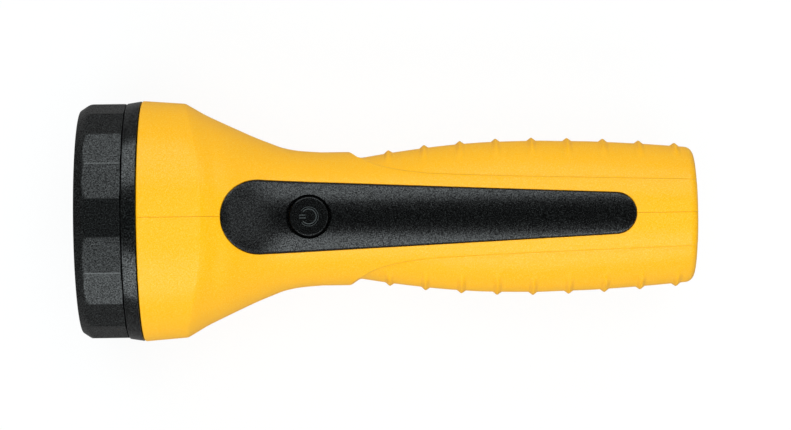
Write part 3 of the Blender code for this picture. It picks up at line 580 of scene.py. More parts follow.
@dataclass
class HousingForm:
    """Outer form of the two yellow half shells, in real sizes."""

    front: float = 19.7 * MM
    mouth_radius: float = 38.43 * MM
    mouth_edge: float = 0.5 * MM
    edge_station: float = 33.3 * MM
    edge_radius: float = 37.4 * MM
    edge_softness: float = 0.5 * MM
    edge_sweep: float = 6.1 * MM
    neck_station: float = 76.5 * MM
    neck_half_width: float = 21.3 * MM
    neck_half_height: float = 24.9 * MM
    notch_station: float = 85.0 * MM
    notch_floor: float = 89.0 * MM
    scoop: float = 8.0 * MM
    notch_half_width: float = 19.3 * MM
    grip_half_width: float = 24.2 * MM
    notch_step: float = 1.5 * MM
    groove_step: float = 0.6 * MM
    tail_corner: float = 2.5 * MM
    rib_count: int = 9
    rib_first: float = 97.9 * MM
    rib_pitch: float = 11.43 * MM
    rib_height: float = 1.12 * MM
    rib_width: float = 2.9 * MM
    rib_tip: float = 0.12
    rib_foot: float = 0.15
    rib_full_angle: float = math.radians(69)
    rib_end_angle: float = math.radians(49)
    fillet: float = 0.16 * MM
    bends: int = 4
    cone_width_shares: Shares = ((0, 1), (0.07, 0.89), (0.14, 0.78), (0.27, 0.61), (0.39, 0.46),
                                 (0.5, 0.325), (0.62, 0.194), (0.73, 0.088), (0.85, 0.03), (1, 0))
    cone_height_shares: Shares = ((0, 1), (0.06, 0.94), (0.155, 0.816), (0.27, 0.69), (0.39, 0.51),
                                  (0.5, 0.345), (0.62, 0.19), (0.73, 0.09), (0.85, 0.03), (1, 0))
    spine_height_shares: Shares = ((0, 1), (0.04, 0.99), (0.14, 0.96), (0.41, 0.932), (0.68, 0.948),
                                   (1, 0.98))
    grip_width_shares: Shares = ((0, 0), (0.075, 0.265), (0.15, 0.49), (0.226, 0.69), (0.3, 0.837),
                                 (0.377, 0.939), (0.45, 0.98), (0.53, 1), (0.6, 0.96), (0.68, 0.92),
                                 (0.755, 0.837), (0.83, 0.735), (0.906, 0.61), (1, 0.43))
    groove_width_shares: Shares = ((0, 0.985), (0.033, 0.886), (0.069, 0.819), (0.106, 0.772),
                                   (0.13, 0.746), (0.166, 0.72), (0.208, 0.694), (1, 0.535))
    step_depth_shares: Shares = ((0, 1), (0.035, 1), (0.1, 0.75), (0.2, 0.3), (0.35, 0), (1, 0))

    def sweep(self, station: float) -> float:
        """How far the bell's top and bottom lie behind its sides."""
        if station <= self.edge_station:
            return self.edge_sweep * max(station - self.front, 0) / (self.edge_station - self.front)
        left = max(1 - (station - self.edge_station) / (self.neck_station - self.edge_station), 0)
        return self.edge_sweep * left ** 2

    def grip_share(self, station: float) -> float:
        """Place along the grip, from the notch to the tail."""
        return (station - self.notch_floor) / (OVERALL_LENGTH - self.notch_floor)

    def half_sizes(self, station: float) -> tuple[float, float]:
        """Half width and half height of the bell, neck or spine."""
        if station <= self.edge_station:
            share = (station - self.front) / (self.edge_station - self.front)
            radius = self.mouth_radius + (self.edge_radius - self.mouth_radius) * share
            near = max(station - self.edge_station + self.edge_softness, 0) / self.edge_softness
            radius -= 0.15 * self.edge_softness * near ** 2
            return radius, radius
        if station < self.neck_station:
            share = (station - self.edge_station) / (self.neck_station - self.edge_station)
            width = smooth_value(self.cone_width_shares, share)
            height = smooth_value(self.cone_height_shares, share)
            near = max(self.edge_station + self.edge_softness - station, 0) / self.edge_softness
            soft = 0.15 * self.edge_softness * near ** 2
            return (self.neck_half_width + (self.edge_radius - self.neck_half_width) * width - soft,
                    self.neck_half_height + (self.edge_radius - self.neck_half_height) * height - soft)
        height = self.neck_half_height * smooth_value(self.spine_height_shares, self.grip_share(station))
        return self.neck_half_width, height

    def side_half_width(self, station: float) -> float:
        """Half width of the scooped side of the grip."""
        if station < self.notch_floor:
            share = ease((station - self.notch_station) / (self.notch_floor - self.notch_station))
            return self.neck_half_width + (self.notch_half_width - self.neck_half_width) * share
        swell = smooth_value(self.grip_width_shares, self.grip_share(station))
        return self.notch_half_width + (self.grip_half_width - self.notch_half_width) * swell

    def groove_half_width(self, station: float) -> float:
        """Half width of the spine between its two grooves."""
        if station < self.notch_floor:
            return self.side_half_width(station) * self.groove_width_shares[0][1]
        return self.notch_half_width * smooth_value(self.groove_width_shares, self.grip_share(station))

    def groove_depth(self, station: float) -> float:
        """Depth of the step from the spine down to the side of the grip."""
        if station < self.notch_floor:
            share = (station - self.notch_station) / (self.notch_floor - self.notch_station)
            return self.notch_step * ease(share)
        share = smooth_value(self.step_depth_shares, self.grip_share(station))
        return self.groove_step + (self.notch_step - self.groove_step) * share

    def rib_rise(self, station: float, angle: float) -> float:
        """Height of the peaked ribs above the side of the grip."""
        index = min(max(round((station - self.rib_first) / self.rib_pitch), 0), self.rib_count - 1)
        offset = abs(station - self.rib_first - index * self.rib_pitch) / self.rib_width * 2
        crown = max(1 - math.hypot(offset, self.rib_tip) + self.rib_tip * 0.5, 0)
        foot = self.rib_foot
        crown = crown * crown / (2 * foot) if crown < foot else crown - foot / 2
        from_side = abs(angle - math.pi / 2)
        full, end = math.pi / 2 - self.rib_full_angle, math.pi / 2 - self.rib_end_angle
        return self.rib_height * crown * ease((end - from_side) / (end - full))

    def top_height(self, station: float, across: float) -> float:
        """Height of the top surface above the axis at a place seen from above."""
        nominal, height, level = station, self.neck_half_height, 1.0
        for _ in range(20):
            width, height = self.half_sizes(nominal)
            level = max(1 - (across / width) ** 2, 0)
            nominal = station - self.sweep(nominal) * level
        return height * math.sqrt(level)

    def oval(self, station: float, spine_steps: int, side_steps: int) -> Profile:
        """Quarter outline of the bell and neck, from the top to the side."""
        width, height = self.half_sizes(station)
        lead = ease((station - self.edge_station) / (self.notch_station - self.edge_station))
        split, strip = math.radians(40) + math.radians(39) * lead, math.radians(1.6)
        angles = [(split - strip) * i / spine_steps for i in range(spine_steps + 1)]
        angles += [split - strip + 2 * strip * i / (2 * self.bends) for i in range(1, 2 * self.bends)]
        angles += [split + strip + (math.pi / 2 - split - strip) * i / side_steps
                   for i in range(side_steps + 1)]
        return [(width * math.sin(a), height * math.cos(a)) for a in angles]

    def stepped(self, station: float, spine_steps: int, side_steps: int) -> Profile:
        """Quarter outline of the grip: spine, rounded step down, then the ribbed side."""
        width, height = self.half_sizes(station)
        groove, depth = self.groove_half_width(station), self.groove_depth(station)
        edge_angle = math.asin(groove / width)
        edge = (groove, height * math.cos(edge_angle))
        foot = (groove, edge[1] - depth)
        side_width = self.side_half_width(station)
        side_angle = math.asin(groove / side_width)
        side_height = foot[1] / math.cos(side_angle)
        spare = min(self.fillet, depth * 0.5 + 0.02 * MM)
        middle = (groove, edge[1] - max(spare, depth / 2))
        left = math.pi / 2 - side_angle
        lead_in = edge_angle - self.fillet / width
        lead_out = side_angle + left * 0.01 + self.fillet / side_width * min(1, left * 2)
        line = [(width * math.sin(lead_in * i / spine_steps), height * math.cos(lead_in * i / spine_steps))
                for i in range(spine_steps + 1)]
        after = (side_width * math.sin(lead_out), side_height * math.cos(lead_out))
        line += [bend(line[-1], edge, middle, i / self.bends) for i in range(1, self.bends + 1)]
        line += [bend(middle, foot, after, i / self.bends) for i in range(1, self.bends)]
        for i in range(side_steps + 1):
            angle = lead_out + (math.pi / 2 - lead_out) * i / side_steps
            across, up = side_width * math.sin(angle), side_height * math.cos(angle)
            around = math.atan2(across, up)
            rise = self.rib_rise(station, around)
            line.append((across + rise * math.sin(around), up + rise * math.cos(around)))
        return line

    def section(self, station: float, spine_steps: int, side_steps: int) -> list[Point]:
        """Half outline at a station, from the top over one side to the bottom.

        Args:
            station: Place along the lamp.
            spine_steps: Steps across half of the spine.
            side_steps: Steps down the side.

        Returns:
            World points on the left side.
        """
        quarter = self.oval if station <= self.notch_station else self.stepped
        upper = quarter(station, spine_steps, side_steps)
        into = max(station - (OVERALL_LENGTH - self.tail_corner), 0)
        inset = self.tail_corner - math.sqrt(max(self.tail_corner ** 2 - into ** 2, 0))
        lead_back = max(self.front + self.mouth_edge - station, 0)
        inset += self.mouth_edge - math.sqrt(max(self.mouth_edge ** 2 - lead_back ** 2, 0))
        sweep = self.sweep(station)
        placed = []
        for across, up in upper + [(across, -up) for across, up in reversed(upper[:-1])]:
            length = math.hypot(across, up)
            shrink = 1 - inset / length
            placed.append((along(station) + sweep * (up / length) ** 2, across * shrink, up * shrink))
        return placed

    def stations(self) -> list[float]:
        """Stations of the fine rings: dense at edges, in the scoop and over each rib."""
        flat = self.front + self.mouth_edge
        near, beyond = self.edge_station - self.edge_softness, self.edge_station + self.edge_softness
        scoop_end, corner = self.notch_floor + self.scoop, OVERALL_LENGTH - self.tail_corner
        stretches = [(self.front, flat, 0.12 * MM), (flat + 0.6 * MM, near, 1.2 * MM),
                     (near, beyond, 0.16 * MM),
                     (self.edge_station + 1.0 * MM, self.notch_station - 0.4 * MM, 0.9 * MM),
                     (self.notch_station, scoop_end, 0.3 * MM), (scoop_end, corner, 1.0 * MM)]
        for i in range(self.rib_count):
            crest, reach = self.rib_first + i * self.rib_pitch, self.rib_width * 0.65
            stretches.append((crest - reach, crest + reach, 0.2 * MM))
        places = [place for stretch in stretches for place in spread(*stretch)]
        places += [corner + self.tail_corner * math.sin(math.radians(angle)) for angle in range(10, 91, 8)]
        places += [OVERALL_LENGTH]
        kept: list[float] = []
        for place in sorted(places):
            if not kept or place - kept[-1] > 0.04 * MM:
                kept.append(place)
        return kept


@dataclass
class PanelForm:
    """Stadium-shaped inlaid panel, tapered towards the tail."""

    housing: HousingForm
    front: float = 45.6 * MM
    rear: float = 175.6 * MM
    front_radius: float = 11.6 * MM
    rear_radius: float = 6.5 * MM
    thickness: float = 1.6 * MM
    proud: float = 0.4 * MM
    edge: float = 0.6 * MM
    gap: float = 0.14 * MM

    def outline(self, arc_steps: int, long_steps: int) -> Profile:
        """Stations of the panel's sections with its half width at each."""
        front, rear = self.front + self.front_radius, self.rear - self.rear_radius
        lean = math.asin((self.front_radius - self.rear_radius) / (rear - front))
        blunt = math.radians(3)
        head, tail = [], []
        for i in range(arc_steps + 1):
            share = (i / arc_steps) ** 1.2
            angle = blunt + (math.pi / 2 + lean - blunt) * share
            head.append((front - self.front_radius * math.cos(angle), self.front_radius * math.sin(angle)))
            angle = blunt + (math.pi / 2 - lean - blunt) * share
            tail.append((rear + self.rear_radius * math.cos(angle), self.rear_radius * math.sin(angle)))
        tail.reverse()
        start, end = head[-1], tail[0]
        for i in range(1, long_steps):
            share = i / long_steps
            head.append((start[0] + (end[0] - start[0]) * share, start[1] + (end[1] - start[1]) * share))
        return head + tail

    def rings(self, growth: float, top_rise: float, bottom_drop: float, edge: float, rows: Sequence[float],
              arc_steps: int = 28, long_steps: int = 90) -> list[list[Point]]:
        """Rings of a body that follows the housing's top within the panel's outline.

        Args:
            growth: How far the outline is drawn outwards.
            top_rise: Height of the top above the housing's surface.
            bottom_drop: Depth of the bottom below it.
            edge: Radius of the rounded upper edge.
            rows: Places across, from -1 to 1.
            arc_steps: Steps along each end.
            long_steps: Steps along the straight sides.

        Returns:
            The rings, front to rear.
        """
        middle = (self.front + self.rear) / 2
        first, last = self.front - growth, self.rear + growth
        rings = []
        for station, half_width in self.outline(arc_steps, long_steps):
            place = station + growth * (station - middle) / (self.rear - self.front) * 2
            wide = half_width + growth
            top, bottom = [], []
            for share in rows:
                across = wide * share
                surface = self.housing.top_height(place, across)
                margin = max(min(wide - abs(across), place - first, last - place), 0)
                drop = edge - math.sqrt(max(edge ** 2 - max(edge - margin, 0) ** 2, 0)) if edge else 0
                top.append((along(place), across, surface + top_rise - drop))
                bottom.append((along(place), across, surface - bottom_drop))
            rings.append(top + bottom[::-1])
        return rings


@dataclass
class Housing:
    """Two half shells with their recess, slots, screw holes and hollow inside."""

    form: HousingForm
    panel: PanelForm
    parting: float = 0.05 * MM
    parting_chamfer: float = 0.1 * MM
    wall: float = 2.2 * MM
    roof: float = 3.45 * MM
    mouth_bore: float = 36.2 * MM
    mouth_bore_length: float = 10.0 * MM
    tail_wall: float = 3.0 * MM
    well_radius: float = 7.95 * MM
    screw_places: tuple[tuple[float, float], ...] = ((52.0 * MM, -20.5 * MM), (88.0 * MM, -14.5 * MM),
                                                     (121.0 * MM, -17.7 * MM), (157.4 * MM, -13.0 * MM))
    counterbore: float = 2.9 * MM
    screw_radius: float = 1.5 * MM
    head_seat: float = 6.5 * MM
    prong_room: float = 0.35 * MM
    slot_flare: float = 0.3 * MM
    slide_half_width: float = 2.75 * MM
    slide_reach: tuple[float, float] = (3.85 * MM, 21.85 * MM)
    track_half_width: float = 5.6 * MM
    track_reach: tuple[float, float] = (2.0 * MM, 20.0 * MM)
    track_lift: float = 2.5 * MM
    reach: float = 60.0 * MM

    def cavity(self) -> Object:
        """Hollow inside the shells."""
        steps = 96
        form = self.form
        bore_end = form.front + self.mouth_bore_length
        tail_inner = OVERALL_LENGTH - self.tail_wall
        stations = spread(bore_end, form.neck_station, 3 * MM)[1:]
        stations += spread(form.notch_station, tail_inner, 4 * MM)
        circle = [2 * math.pi * i / steps for i in range(steps)]
        rings = [[(along(station), self.mouth_bore * math.sin(a), self.mouth_bore * math.cos(a))
                  for a in circle] for station in (form.front - 1 * MM, bore_end)]
        for station in stations:
            width, height = form.half_sizes(station)
            if station >= form.notch_station:
                width = form.side_half_width(station)
            blend = min((station - bore_end) / (self.panel.front - bore_end), 1)
            inner_width = min(width - self.wall, self.mouth_bore)
            inner_height = min(height - self.wall - (self.roof - self.wall) * blend, self.mouth_bore)
            rings.append([(along(station) + form.sweep(station) * math.cos(a) ** 2,
                           inner_width * math.sin(a), inner_height * math.cos(a)) for a in circle])
        return lofted("housing_cavity", rings)

    def recess(self) -> list[Object]:
        """Panel recess with a softened rim."""
        rows = [i / 12 for i in range(-12, 13)]
        panel = self.panel
        floor = panel.thickness - panel.proud + panel.gap
        return [lofted("panel_recess", panel.rings(panel.gap, self.reach / 2, floor, 0, rows)),
                lofted("recess_rim", panel.rings(panel.gap + 0.05 * MM, self.reach / 2, 0.05 * MM, 0, rows))]

    def tail_cutters(self) -> list[Object]:
        """Slots for prongs and thumb slide, as the frame's nodes have them."""
        cutters = []
        end, beyond = OVERALL_LENGTH, OVERALL_LENGTH + 1 * MM
        for name in ("prong_left", "prong_right"):
            low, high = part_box(name)
            for label, start, room in (("slot_", end - 2 * self.tail_wall, self.prong_room),
                                       ("slot_lip_", end - 0.3 * MM, self.prong_room + self.slot_flare)):
                cutters.append(block(label + name, (start, low.y - room, low.z - room),
                                     (beyond, high.y + room, high.z + room)))
        low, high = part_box("slider_knob")
        base = OVERALL_LENGTH / 2
        middle = (low.x + high.x) / 2 + base
        half_slot, half_track = self.slide_half_width, self.track_half_width
        cutters.append(block("slider_slot", (middle - self.slide_reach[0], -half_slot, -self.reach),
                             (middle + self.slide_reach[1], half_slot, -6 * MM)))
        cutters.append(block("slider_track", (low.x + base - self.track_reach[0], -half_track, -self.reach),
                             (high.x + base + self.track_reach[1], half_track, low.z + self.track_lift)))
        return cutters

    def screw_cutters(self) -> list[Object]:
        """Counterbored screw holes on the right side."""
        cutters = []
        for i, (station, height) in enumerate(self.screw_places):
            profile = [(0, 0), (self.screw_radius, 0), (self.screw_radius, -self.head_seat),
                       (self.counterbore, -self.head_seat), (self.counterbore, -self.reach), (0, -self.reach)]
            cutters.append(turned(f"screw_hole_{i + 1}", profile, 40, frame=across_frame(station, height)))
        return cutters

    def build(self, side: Side, wardrobe: Wardrobe) -> Object:
        """Make one half shell.

        Args:
            side: Which half.
            wardrobe: Source of materials.

        Returns:
            The piece that stands for the half shell's node.
        """
        name = "shell_" + side.name.lower()
        sign = side.value
        half_gap = self.parting / 2
        rings = []
        for station in self.form.stations():
            line = self.form.section(station, 18, 30)
            seam = half_gap + self.parting_chamfer
            ring = [(x, sign * max(across, seam), up) for x, across, up in line]
            crest, foot = line[0], line[-1]
            ring.insert(0, (crest[0], sign * half_gap, crest[2] - self.parting_chamfer))
            ring.append((foot[0], sign * half_gap, foot[2] + self.parting_chamfer))
            rings.append(ring)
        shell = lofted(name, rings, wardrobe.get("yellow_shell"))
        well = turned("button_well", [(0, 0), (self.well_radius, 0), (self.well_radius, self.reach),
                                      (0, self.reach)], 64, frame=upright_frame(BUTTON_STATION))
        cutters = [self.cavity(), *self.recess(), well, *self.tail_cutters()]
        if side is Side.RIGHT:
            cutters += self.screw_cutters()
        carve(shell, cutters, sharp=24)
        shell.data.materials.clear()
        shell.data.materials.append(wardrobe.get("yellow_shell"))
        return settle(shell, Body.HOUSING, "yellow_shell", "housing_" + side.name.lower())


@dataclass
class SwitchPanel:
    """Black inlaid panel with the button's hole."""

    form: PanelForm
    hole_radius: float = 6.95 * MM
    hole_edge: float = 0.3 * MM

    def build(self, wardrobe: Wardrobe) -> Object:
        """Make the panel."""
        form = self.form
        rows = [-math.cos(math.pi * i / 36) for i in range(37)]
        rings = form.rings(0, form.proud, form.thickness - form.proud, form.edge, rows, 40, 120)
        panel = lofted("inlaid_panel", rings, wardrobe.get("black_texture"))
        top = form.housing.top_height(BUTTON_STATION, 0) + form.proud
        high = top + 30 * MM
        profile = [(0, 0), (self.hole_radius, 0), (self.hole_radius, top - 1.6 * self.hole_edge),
                   (self.hole_radius + self.hole_edge, top - 0.5 * self.hole_edge),
                   (self.hole_radius + self.hole_edge * 1.6, high), (0, high)]
        carve(panel, [turned("panel_hole", profile, 96, frame=upright_frame(BUTTON_STATION))])
        return settle(panel, Body.HOUSING, "black_texture", "switch_panel")


@dataclass
class PowerButton:
    """Push button with a flat face, a softened edge and a raised generic power symbol."""

    radius: float = 6.2 * MM
    crown_radius: float = 5.95 * MM
    edge: float = 0.28 * MM
    draft: float = 1.0 * MM
    flange_radius: float = 7.6 * MM
    flange_thickness: float = 1.0 * MM
    stem_radius: float = 2.2 * MM
    symbol_radius: float = 2.65 * MM
    symbol_half_width: float = 0.33 * MM
    symbol_stroke: float = 0.22 * MM
    symbol_rise: float = 0.1 * MM
    symbol_opening: float = math.radians(76)
    bar_length: float = 1.95 * MM
    bar_half_width: float = 0.45 * MM

    def build(self, wardrobe: Wardrobe) -> list[Object]:
        """Make the cap and its symbol."""
        low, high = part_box("power_button")
        crown = high.z
        flange_top = low.z + self.stem_length()
        corners = [(0, crown), (self.crown_radius, crown),
                   (self.radius, crown - self.draft), (self.radius, flange_top),
                   (self.flange_radius, flange_top),
                   (self.flange_radius, flange_top - self.flange_thickness),
                   (self.stem_radius, flange_top - self.flange_thickness), (self.stem_radius, low.z),
                   (0, low.z)]
        cap = turned("button_cap", rounded(corners, self.edge), 128, wardrobe.get("black_texture"),
                     upright_frame(BUTTON_STATION))
        settle(cap, Body.BUTTON, "black_texture", "power_button")
        return [cap, self.symbol(crown, wardrobe)]

    def stem_length(self) -> float:
        """Length from the stem's end to the top of the flange, as the frame's node has it."""
        low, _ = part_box("power_button")
        outside = self.radius + 0.5 * MM
        top = max(v.co.z for v in NODES["power_button"].data.vertices
                  if math.hypot(v.co.x - along(BUTTON_STATION), v.co.y) > outside)
        return top - low.z

    def symbol(self, face: float, wardrobe: Wardrobe) -> Object:
        """Outlines of an open ring and a bar, raised above the face; their grey colour is a painted highlight.
        """
        mesh_data = bmesh.new()
        middle = along(BUTTON_STATION)

        def strip(path: list[tuple[float, float]], half: float) -> None:
            """Raised line with a rounded crest along a path."""
            top, sunk = self.symbol_rise, -0.05 * MM
            profile = [(-half, sunk), (-half, 0.5 * top), (-half * 0.55, top), (half * 0.55, top),
                       (half, 0.5 * top), (half, sunk)]
            loops = []
            for i, point in enumerate(path):
                before, after = path[max(i - 1, 0)], path[min(i + 1, len(path) - 1)]
                way = Vector((after[0] - before[0], after[1] - before[1])).normalized()
                loops.append([mesh_data.verts.new((middle + point[0] - way.y * off,
                                                   point[1] + way.x * off, face + rise))
                              for off, rise in profile])
            for first, second in zip(loops, loops[1:]):
                for i, vertex in enumerate(first):
                    follower = (i + 1) % len(first)
                    mesh_data.faces.new((vertex, first[follower], second[follower], second[i]))
            mesh_data.faces.new(loops[0])
            mesh_data.faces.new(loops[-1])

        start = math.pi + self.symbol_opening / 2
        sweep = 2 * math.pi - self.symbol_opening
        for side, stroke in ((-1, self.symbol_stroke), (1, self.symbol_stroke * 0.6)):
            radius = self.symbol_radius + side * self.symbol_half_width
            strip([(radius * math.cos(start + sweep * i / 60), radius * math.sin(start + sweep * i / 60))
                   for i in range(61)], stroke / 2)
        for side in (-1, 1):
            strip([(-self.symbol_radius - self.symbol_half_width + self.bar_length * i / 8,
                    side * self.bar_half_width) for i in range(9)], self.symbol_stroke / 2)
        # The symbol's grey finish is a painted highlight along its raised lines.
        piece = to_object("power_symbol", mesh_data, wardrobe.get("raised_line"), 40)
        return settle(piece, Body.BUTTON, "black_texture")


@dataclass
class HeadRing:
    """Faceted head ring: a turned body cut by flat facets, with narrow smooth edges between them."""

    facets: int = 20
    facet_radius: float = 37.25 * MM
    corner_radius: float = 37.69 * MM
    corner_offset: float = 8.75
    rim_radius: float = 35.8 * MM
    lip_length: float = 3.2 * MM
    length: float = 14.6 * MM
    window_radius: float = 33.0 * MM
    window_flare: float = 0.9 * MM
    bore_radius: float = 35.2 * MM
    lip_thickness: float = 2.0 * MM
    rim_land: float = 0.9 * MM
    rear_edge: float = 0.3 * MM

    def build(self, wardrobe: Wardrobe) -> Object:
        """Make the ring."""
        corner, rear, land, soft = self.corner_radius, self.length, self.rim_land, self.rear_edge
        lip = [(self.rim_radius - land, 0.0), (self.rim_radius - 0.3 * MM, 0.0),
               (self.facet_radius - 0.15 * MM, self.lip_length - 0.8 * MM),
               (corner, self.lip_length + 0.6 * MM), (corner, rear / 2)]
        outside = rounded(lip, 0.7 * MM, 6)[1:-1]
        outside += [(corner, rear - soft), (corner - 0.1 * MM, rear - 0.08 * MM), (corner - soft, rear)]
        inside = rounded([(self.bore_radius + soft, rear), (self.bore_radius, rear - soft),
                          (self.bore_radius, self.lip_thickness), (self.window_radius, self.lip_thickness),
                          (self.window_radius + self.window_flare, 0.0), (self.rim_radius - land, 0.0)],
                         0.25 * MM)[:-1]
        edge = self.corner_offset
        offsets = [-edge, -edge + 0.3, -7, -5, -3, -1, 1, 3, 5, 7, edge - 0.3, edge]
        mesh_data = bmesh.new()
        columns = []
        for facet in range(self.facets):
            for offset in offsets:
                angle = 2 * math.pi * facet / self.facets + math.radians(offset)
                flat = self.facet_radius / math.cos(math.radians(offset))
                column = [(min(radius, flat), station) for radius, station in outside] + inside
                columns.append([mesh_data.verts.new(lamp_frame(station, radius * math.sin(angle),
                                                               radius * math.cos(angle)))
                                for radius, station in column])
        for i, column in enumerate(columns):
            following = columns[(i + 1) % len(columns)]
            for j, vertex in enumerate(column):
                below = (j + 1) % len(column)
                face = mesh_data.faces.new((vertex, column[below], following[below], following[j]))
                face.material_index = int(i % len(offsets) == len(offsets) - 1)
        ring = to_object("faceted_head_ring", mesh_data, wardrobe.get("black_satin"), 12)
        ring.data.materials.append(wardrobe.get("worn_edge"))
        return settle(ring, Body.BEZEL, "black_satin", "bezel_ring")


@dataclass
class Collar:
    """Narrow satin ring behind the head ring, with its threaded nose and tail."""

    front_radius: float = 37.6 * MM
    rear_radius: float = 38.3 * MM
    front: float = 14.9 * MM
    rear: float = 19.4 * MM
    bore_radius: float = 33.0 * MM
    nose_radius: float = 34.8 * MM
    tail_radius: float = 35.9 * MM
    thread_pitch: float = 3.0 * MM
    thread_depth: float = 0.3 * MM

    def build(self, wardrobe: Wardrobe) -> Object:
        """Make the collar, with thread turns drawn as rounded ridges on its nose."""
        low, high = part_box("collar_ring")
        nose, tail = low.x + OVERALL_LENGTH / 2, high.x + OVERALL_LENGTH / 2
        crest, root, flank = self.nose_radius, self.nose_radius - self.thread_depth, 0.4 * MM
        corners = [(self.bore_radius, nose), (root, nose)]
        ridge = nose + self.thread_pitch / 3
        while ridge + self.thread_pitch / 2 < self.front:
            corners += [(root, ridge - flank), (crest, ridge), (crest, ridge + flank),
                        (root, ridge + 2 * flank)]
            ridge += self.thread_pitch / 2
        corners += [(root, self.front), (self.front_radius, self.front),
                    (self.rear_radius, self.rear), (self.tail_radius, self.rear), (self.tail_radius, tail),
                    (self.bore_radius, tail)]
        ring = turned("collar_band", rounded(corners, 0.3 * MM, 3), 192, wardrobe.get("black_gloss"))
        return settle(ring, Body.HOUSING, "black_satin", "collar_ring")


@dataclass
class LightHead:
    """Front disc, reflector bowl and light source."""

    lens_edge: float = 0.35 * MM
    reflector_mouth: float = 32.0 * MM
    reflector_throat: float = 6.0 * MM
    reflector_wall: float = 1.2 * MM
    flange_radius: float = 34.6 * MM
    flange_thickness: float = 1.3 * MM
    depth: float = 28.5 * MM

    def build(self, wardrobe: Wardrobe) -> list[Object]:
        """Make the disc, the reflector bowl and the light source in front of the heat sink."""
        return [self.lens(wardrobe), self.reflector(wardrobe), self.emitter(wardrobe)]

    def lens(self, wardrobe: Wardrobe) -> Object:
        """Clear disc with soft edges."""
        low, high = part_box("lens")
        base = OVERALL_LENGTH / 2
        radius = (high.y - low.y) / 2
        corners = [(0, low.x + base), (radius, low.x + base), (radius, high.x + base), (0, high.x + base)]
        lens = turned("front_lens", rounded(corners, self.lens_edge), 128, wardrobe.get("clear_lens"))
        return settle(lens, Body.LENS_PACK, "clear_lens", "lens")

    def reflector(self, wardrobe: Wardrobe) -> Object:
        """Parabolic bowl with its rim flange and throat."""
        low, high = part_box("reflector")
        front, rear = low.x + OVERALL_LENGTH / 2, high.x + OVERALL_LENGTH / 2

        def curve(wall: float) -> Profile:
            """Bowl profile from mouth to throat."""
            mouth, throat = self.reflector_mouth + wall, self.reflector_throat + wall
            points = []
            for i in range(41):
                radius = mouth + (throat - mouth) * i / 40
                share = 1 - (radius ** 2 - throat ** 2) / (mouth ** 2 - throat ** 2)
                points.append((radius, front + self.depth * share))
            return points

        outer = [point for point in curve(self.reflector_wall) if point[1] > front + self.flange_thickness]
        throat = self.reflector_throat
        profile = curve(0) + [(throat, rear), (throat + self.reflector_wall, rear)] + outer[::-1]
        flange_rear = front + self.flange_thickness
        profile += [(self.reflector_mouth, flange_rear), (self.flange_radius, flange_rear),
                    (self.flange_radius, front)]
        bowl = turned("reflector_bowl", profile, 128, wardrobe.get("mirror"))
        return settle(bowl, Body.HOUSING, "reflector_mirror", "reflector")

    def emitter(self, wardrobe: Wardrobe) -> Object:
        """Silicone dome on a round, turned base."""
        low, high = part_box("led_emitter")
        front, rear = low.x + OVERALL_LENGTH / 2, high.x + OVERALL_LENGTH / 2
        radius = (high.y - low.y) / 2
        base = rear - 1.0 * MM
        dome = base - front
        corners = [(dome * math.sin(math.radians(a)), base - dome * math.cos(math.radians(a)))
                   for a in range(0, 91, 6)]
        corners += rounded([(dome, base), (radius, base), (radius, rear), (0, rear)], 0.2 * MM)[1:]
        piece = turned("led_dome", corners, 64, wardrobe.get("dome"))
        return settle(piece, Body.HOUSING, "light_source", "led_emitter")


@dataclass
class CarriedPieces:
    """Frame nodes that keep their shape and get their finish."""

    finishes: dict[str, tuple[str, ...]] = field(default_factory=lambda: {
        "seal_rubber": ("lens_seal",),
        "board": ("led_board", "switch_board", "charge_board"),
        "sink": ("heat_sink",),
        "button_black": ("switch_body", "rectifier"),
        "zinc": ("switch_plunger", "battery_terminal_positive", "battery_terminal_negative",
                 "housing_screw_1", "housing_screw_2", "housing_screw_3", "housing_screw_4"),
        "battery_case": ("battery_block",),
        "foam": ("battery_foam_pad",),
        "film": ("dropper_capacitor",),
        "nickel": ("charge_contact_left", "charge_contact_right", "prong_left", "prong_right"),
        "black_texture": ("plug_carriage", "slider_knob"),
    })
    edges: dict[str, float] = field(default_factory=lambda: {"prong": 0.15 * MM, "housing_screw": 0.1 * MM})

    def build(self, wardrobe: Wardrobe) -> list[str]:
        """Dress every carried-over node.

        Returns:
            Names of the dressed nodes.
        """
        for finish, names in self.finishes.items():
            for name in names:
                dress(NODES[name], wardrobe.get(finish), self.edges.get(name.rsplit("_", 1)[0], 0.0))
        return [name for names in self.finishes.values() for name in names]


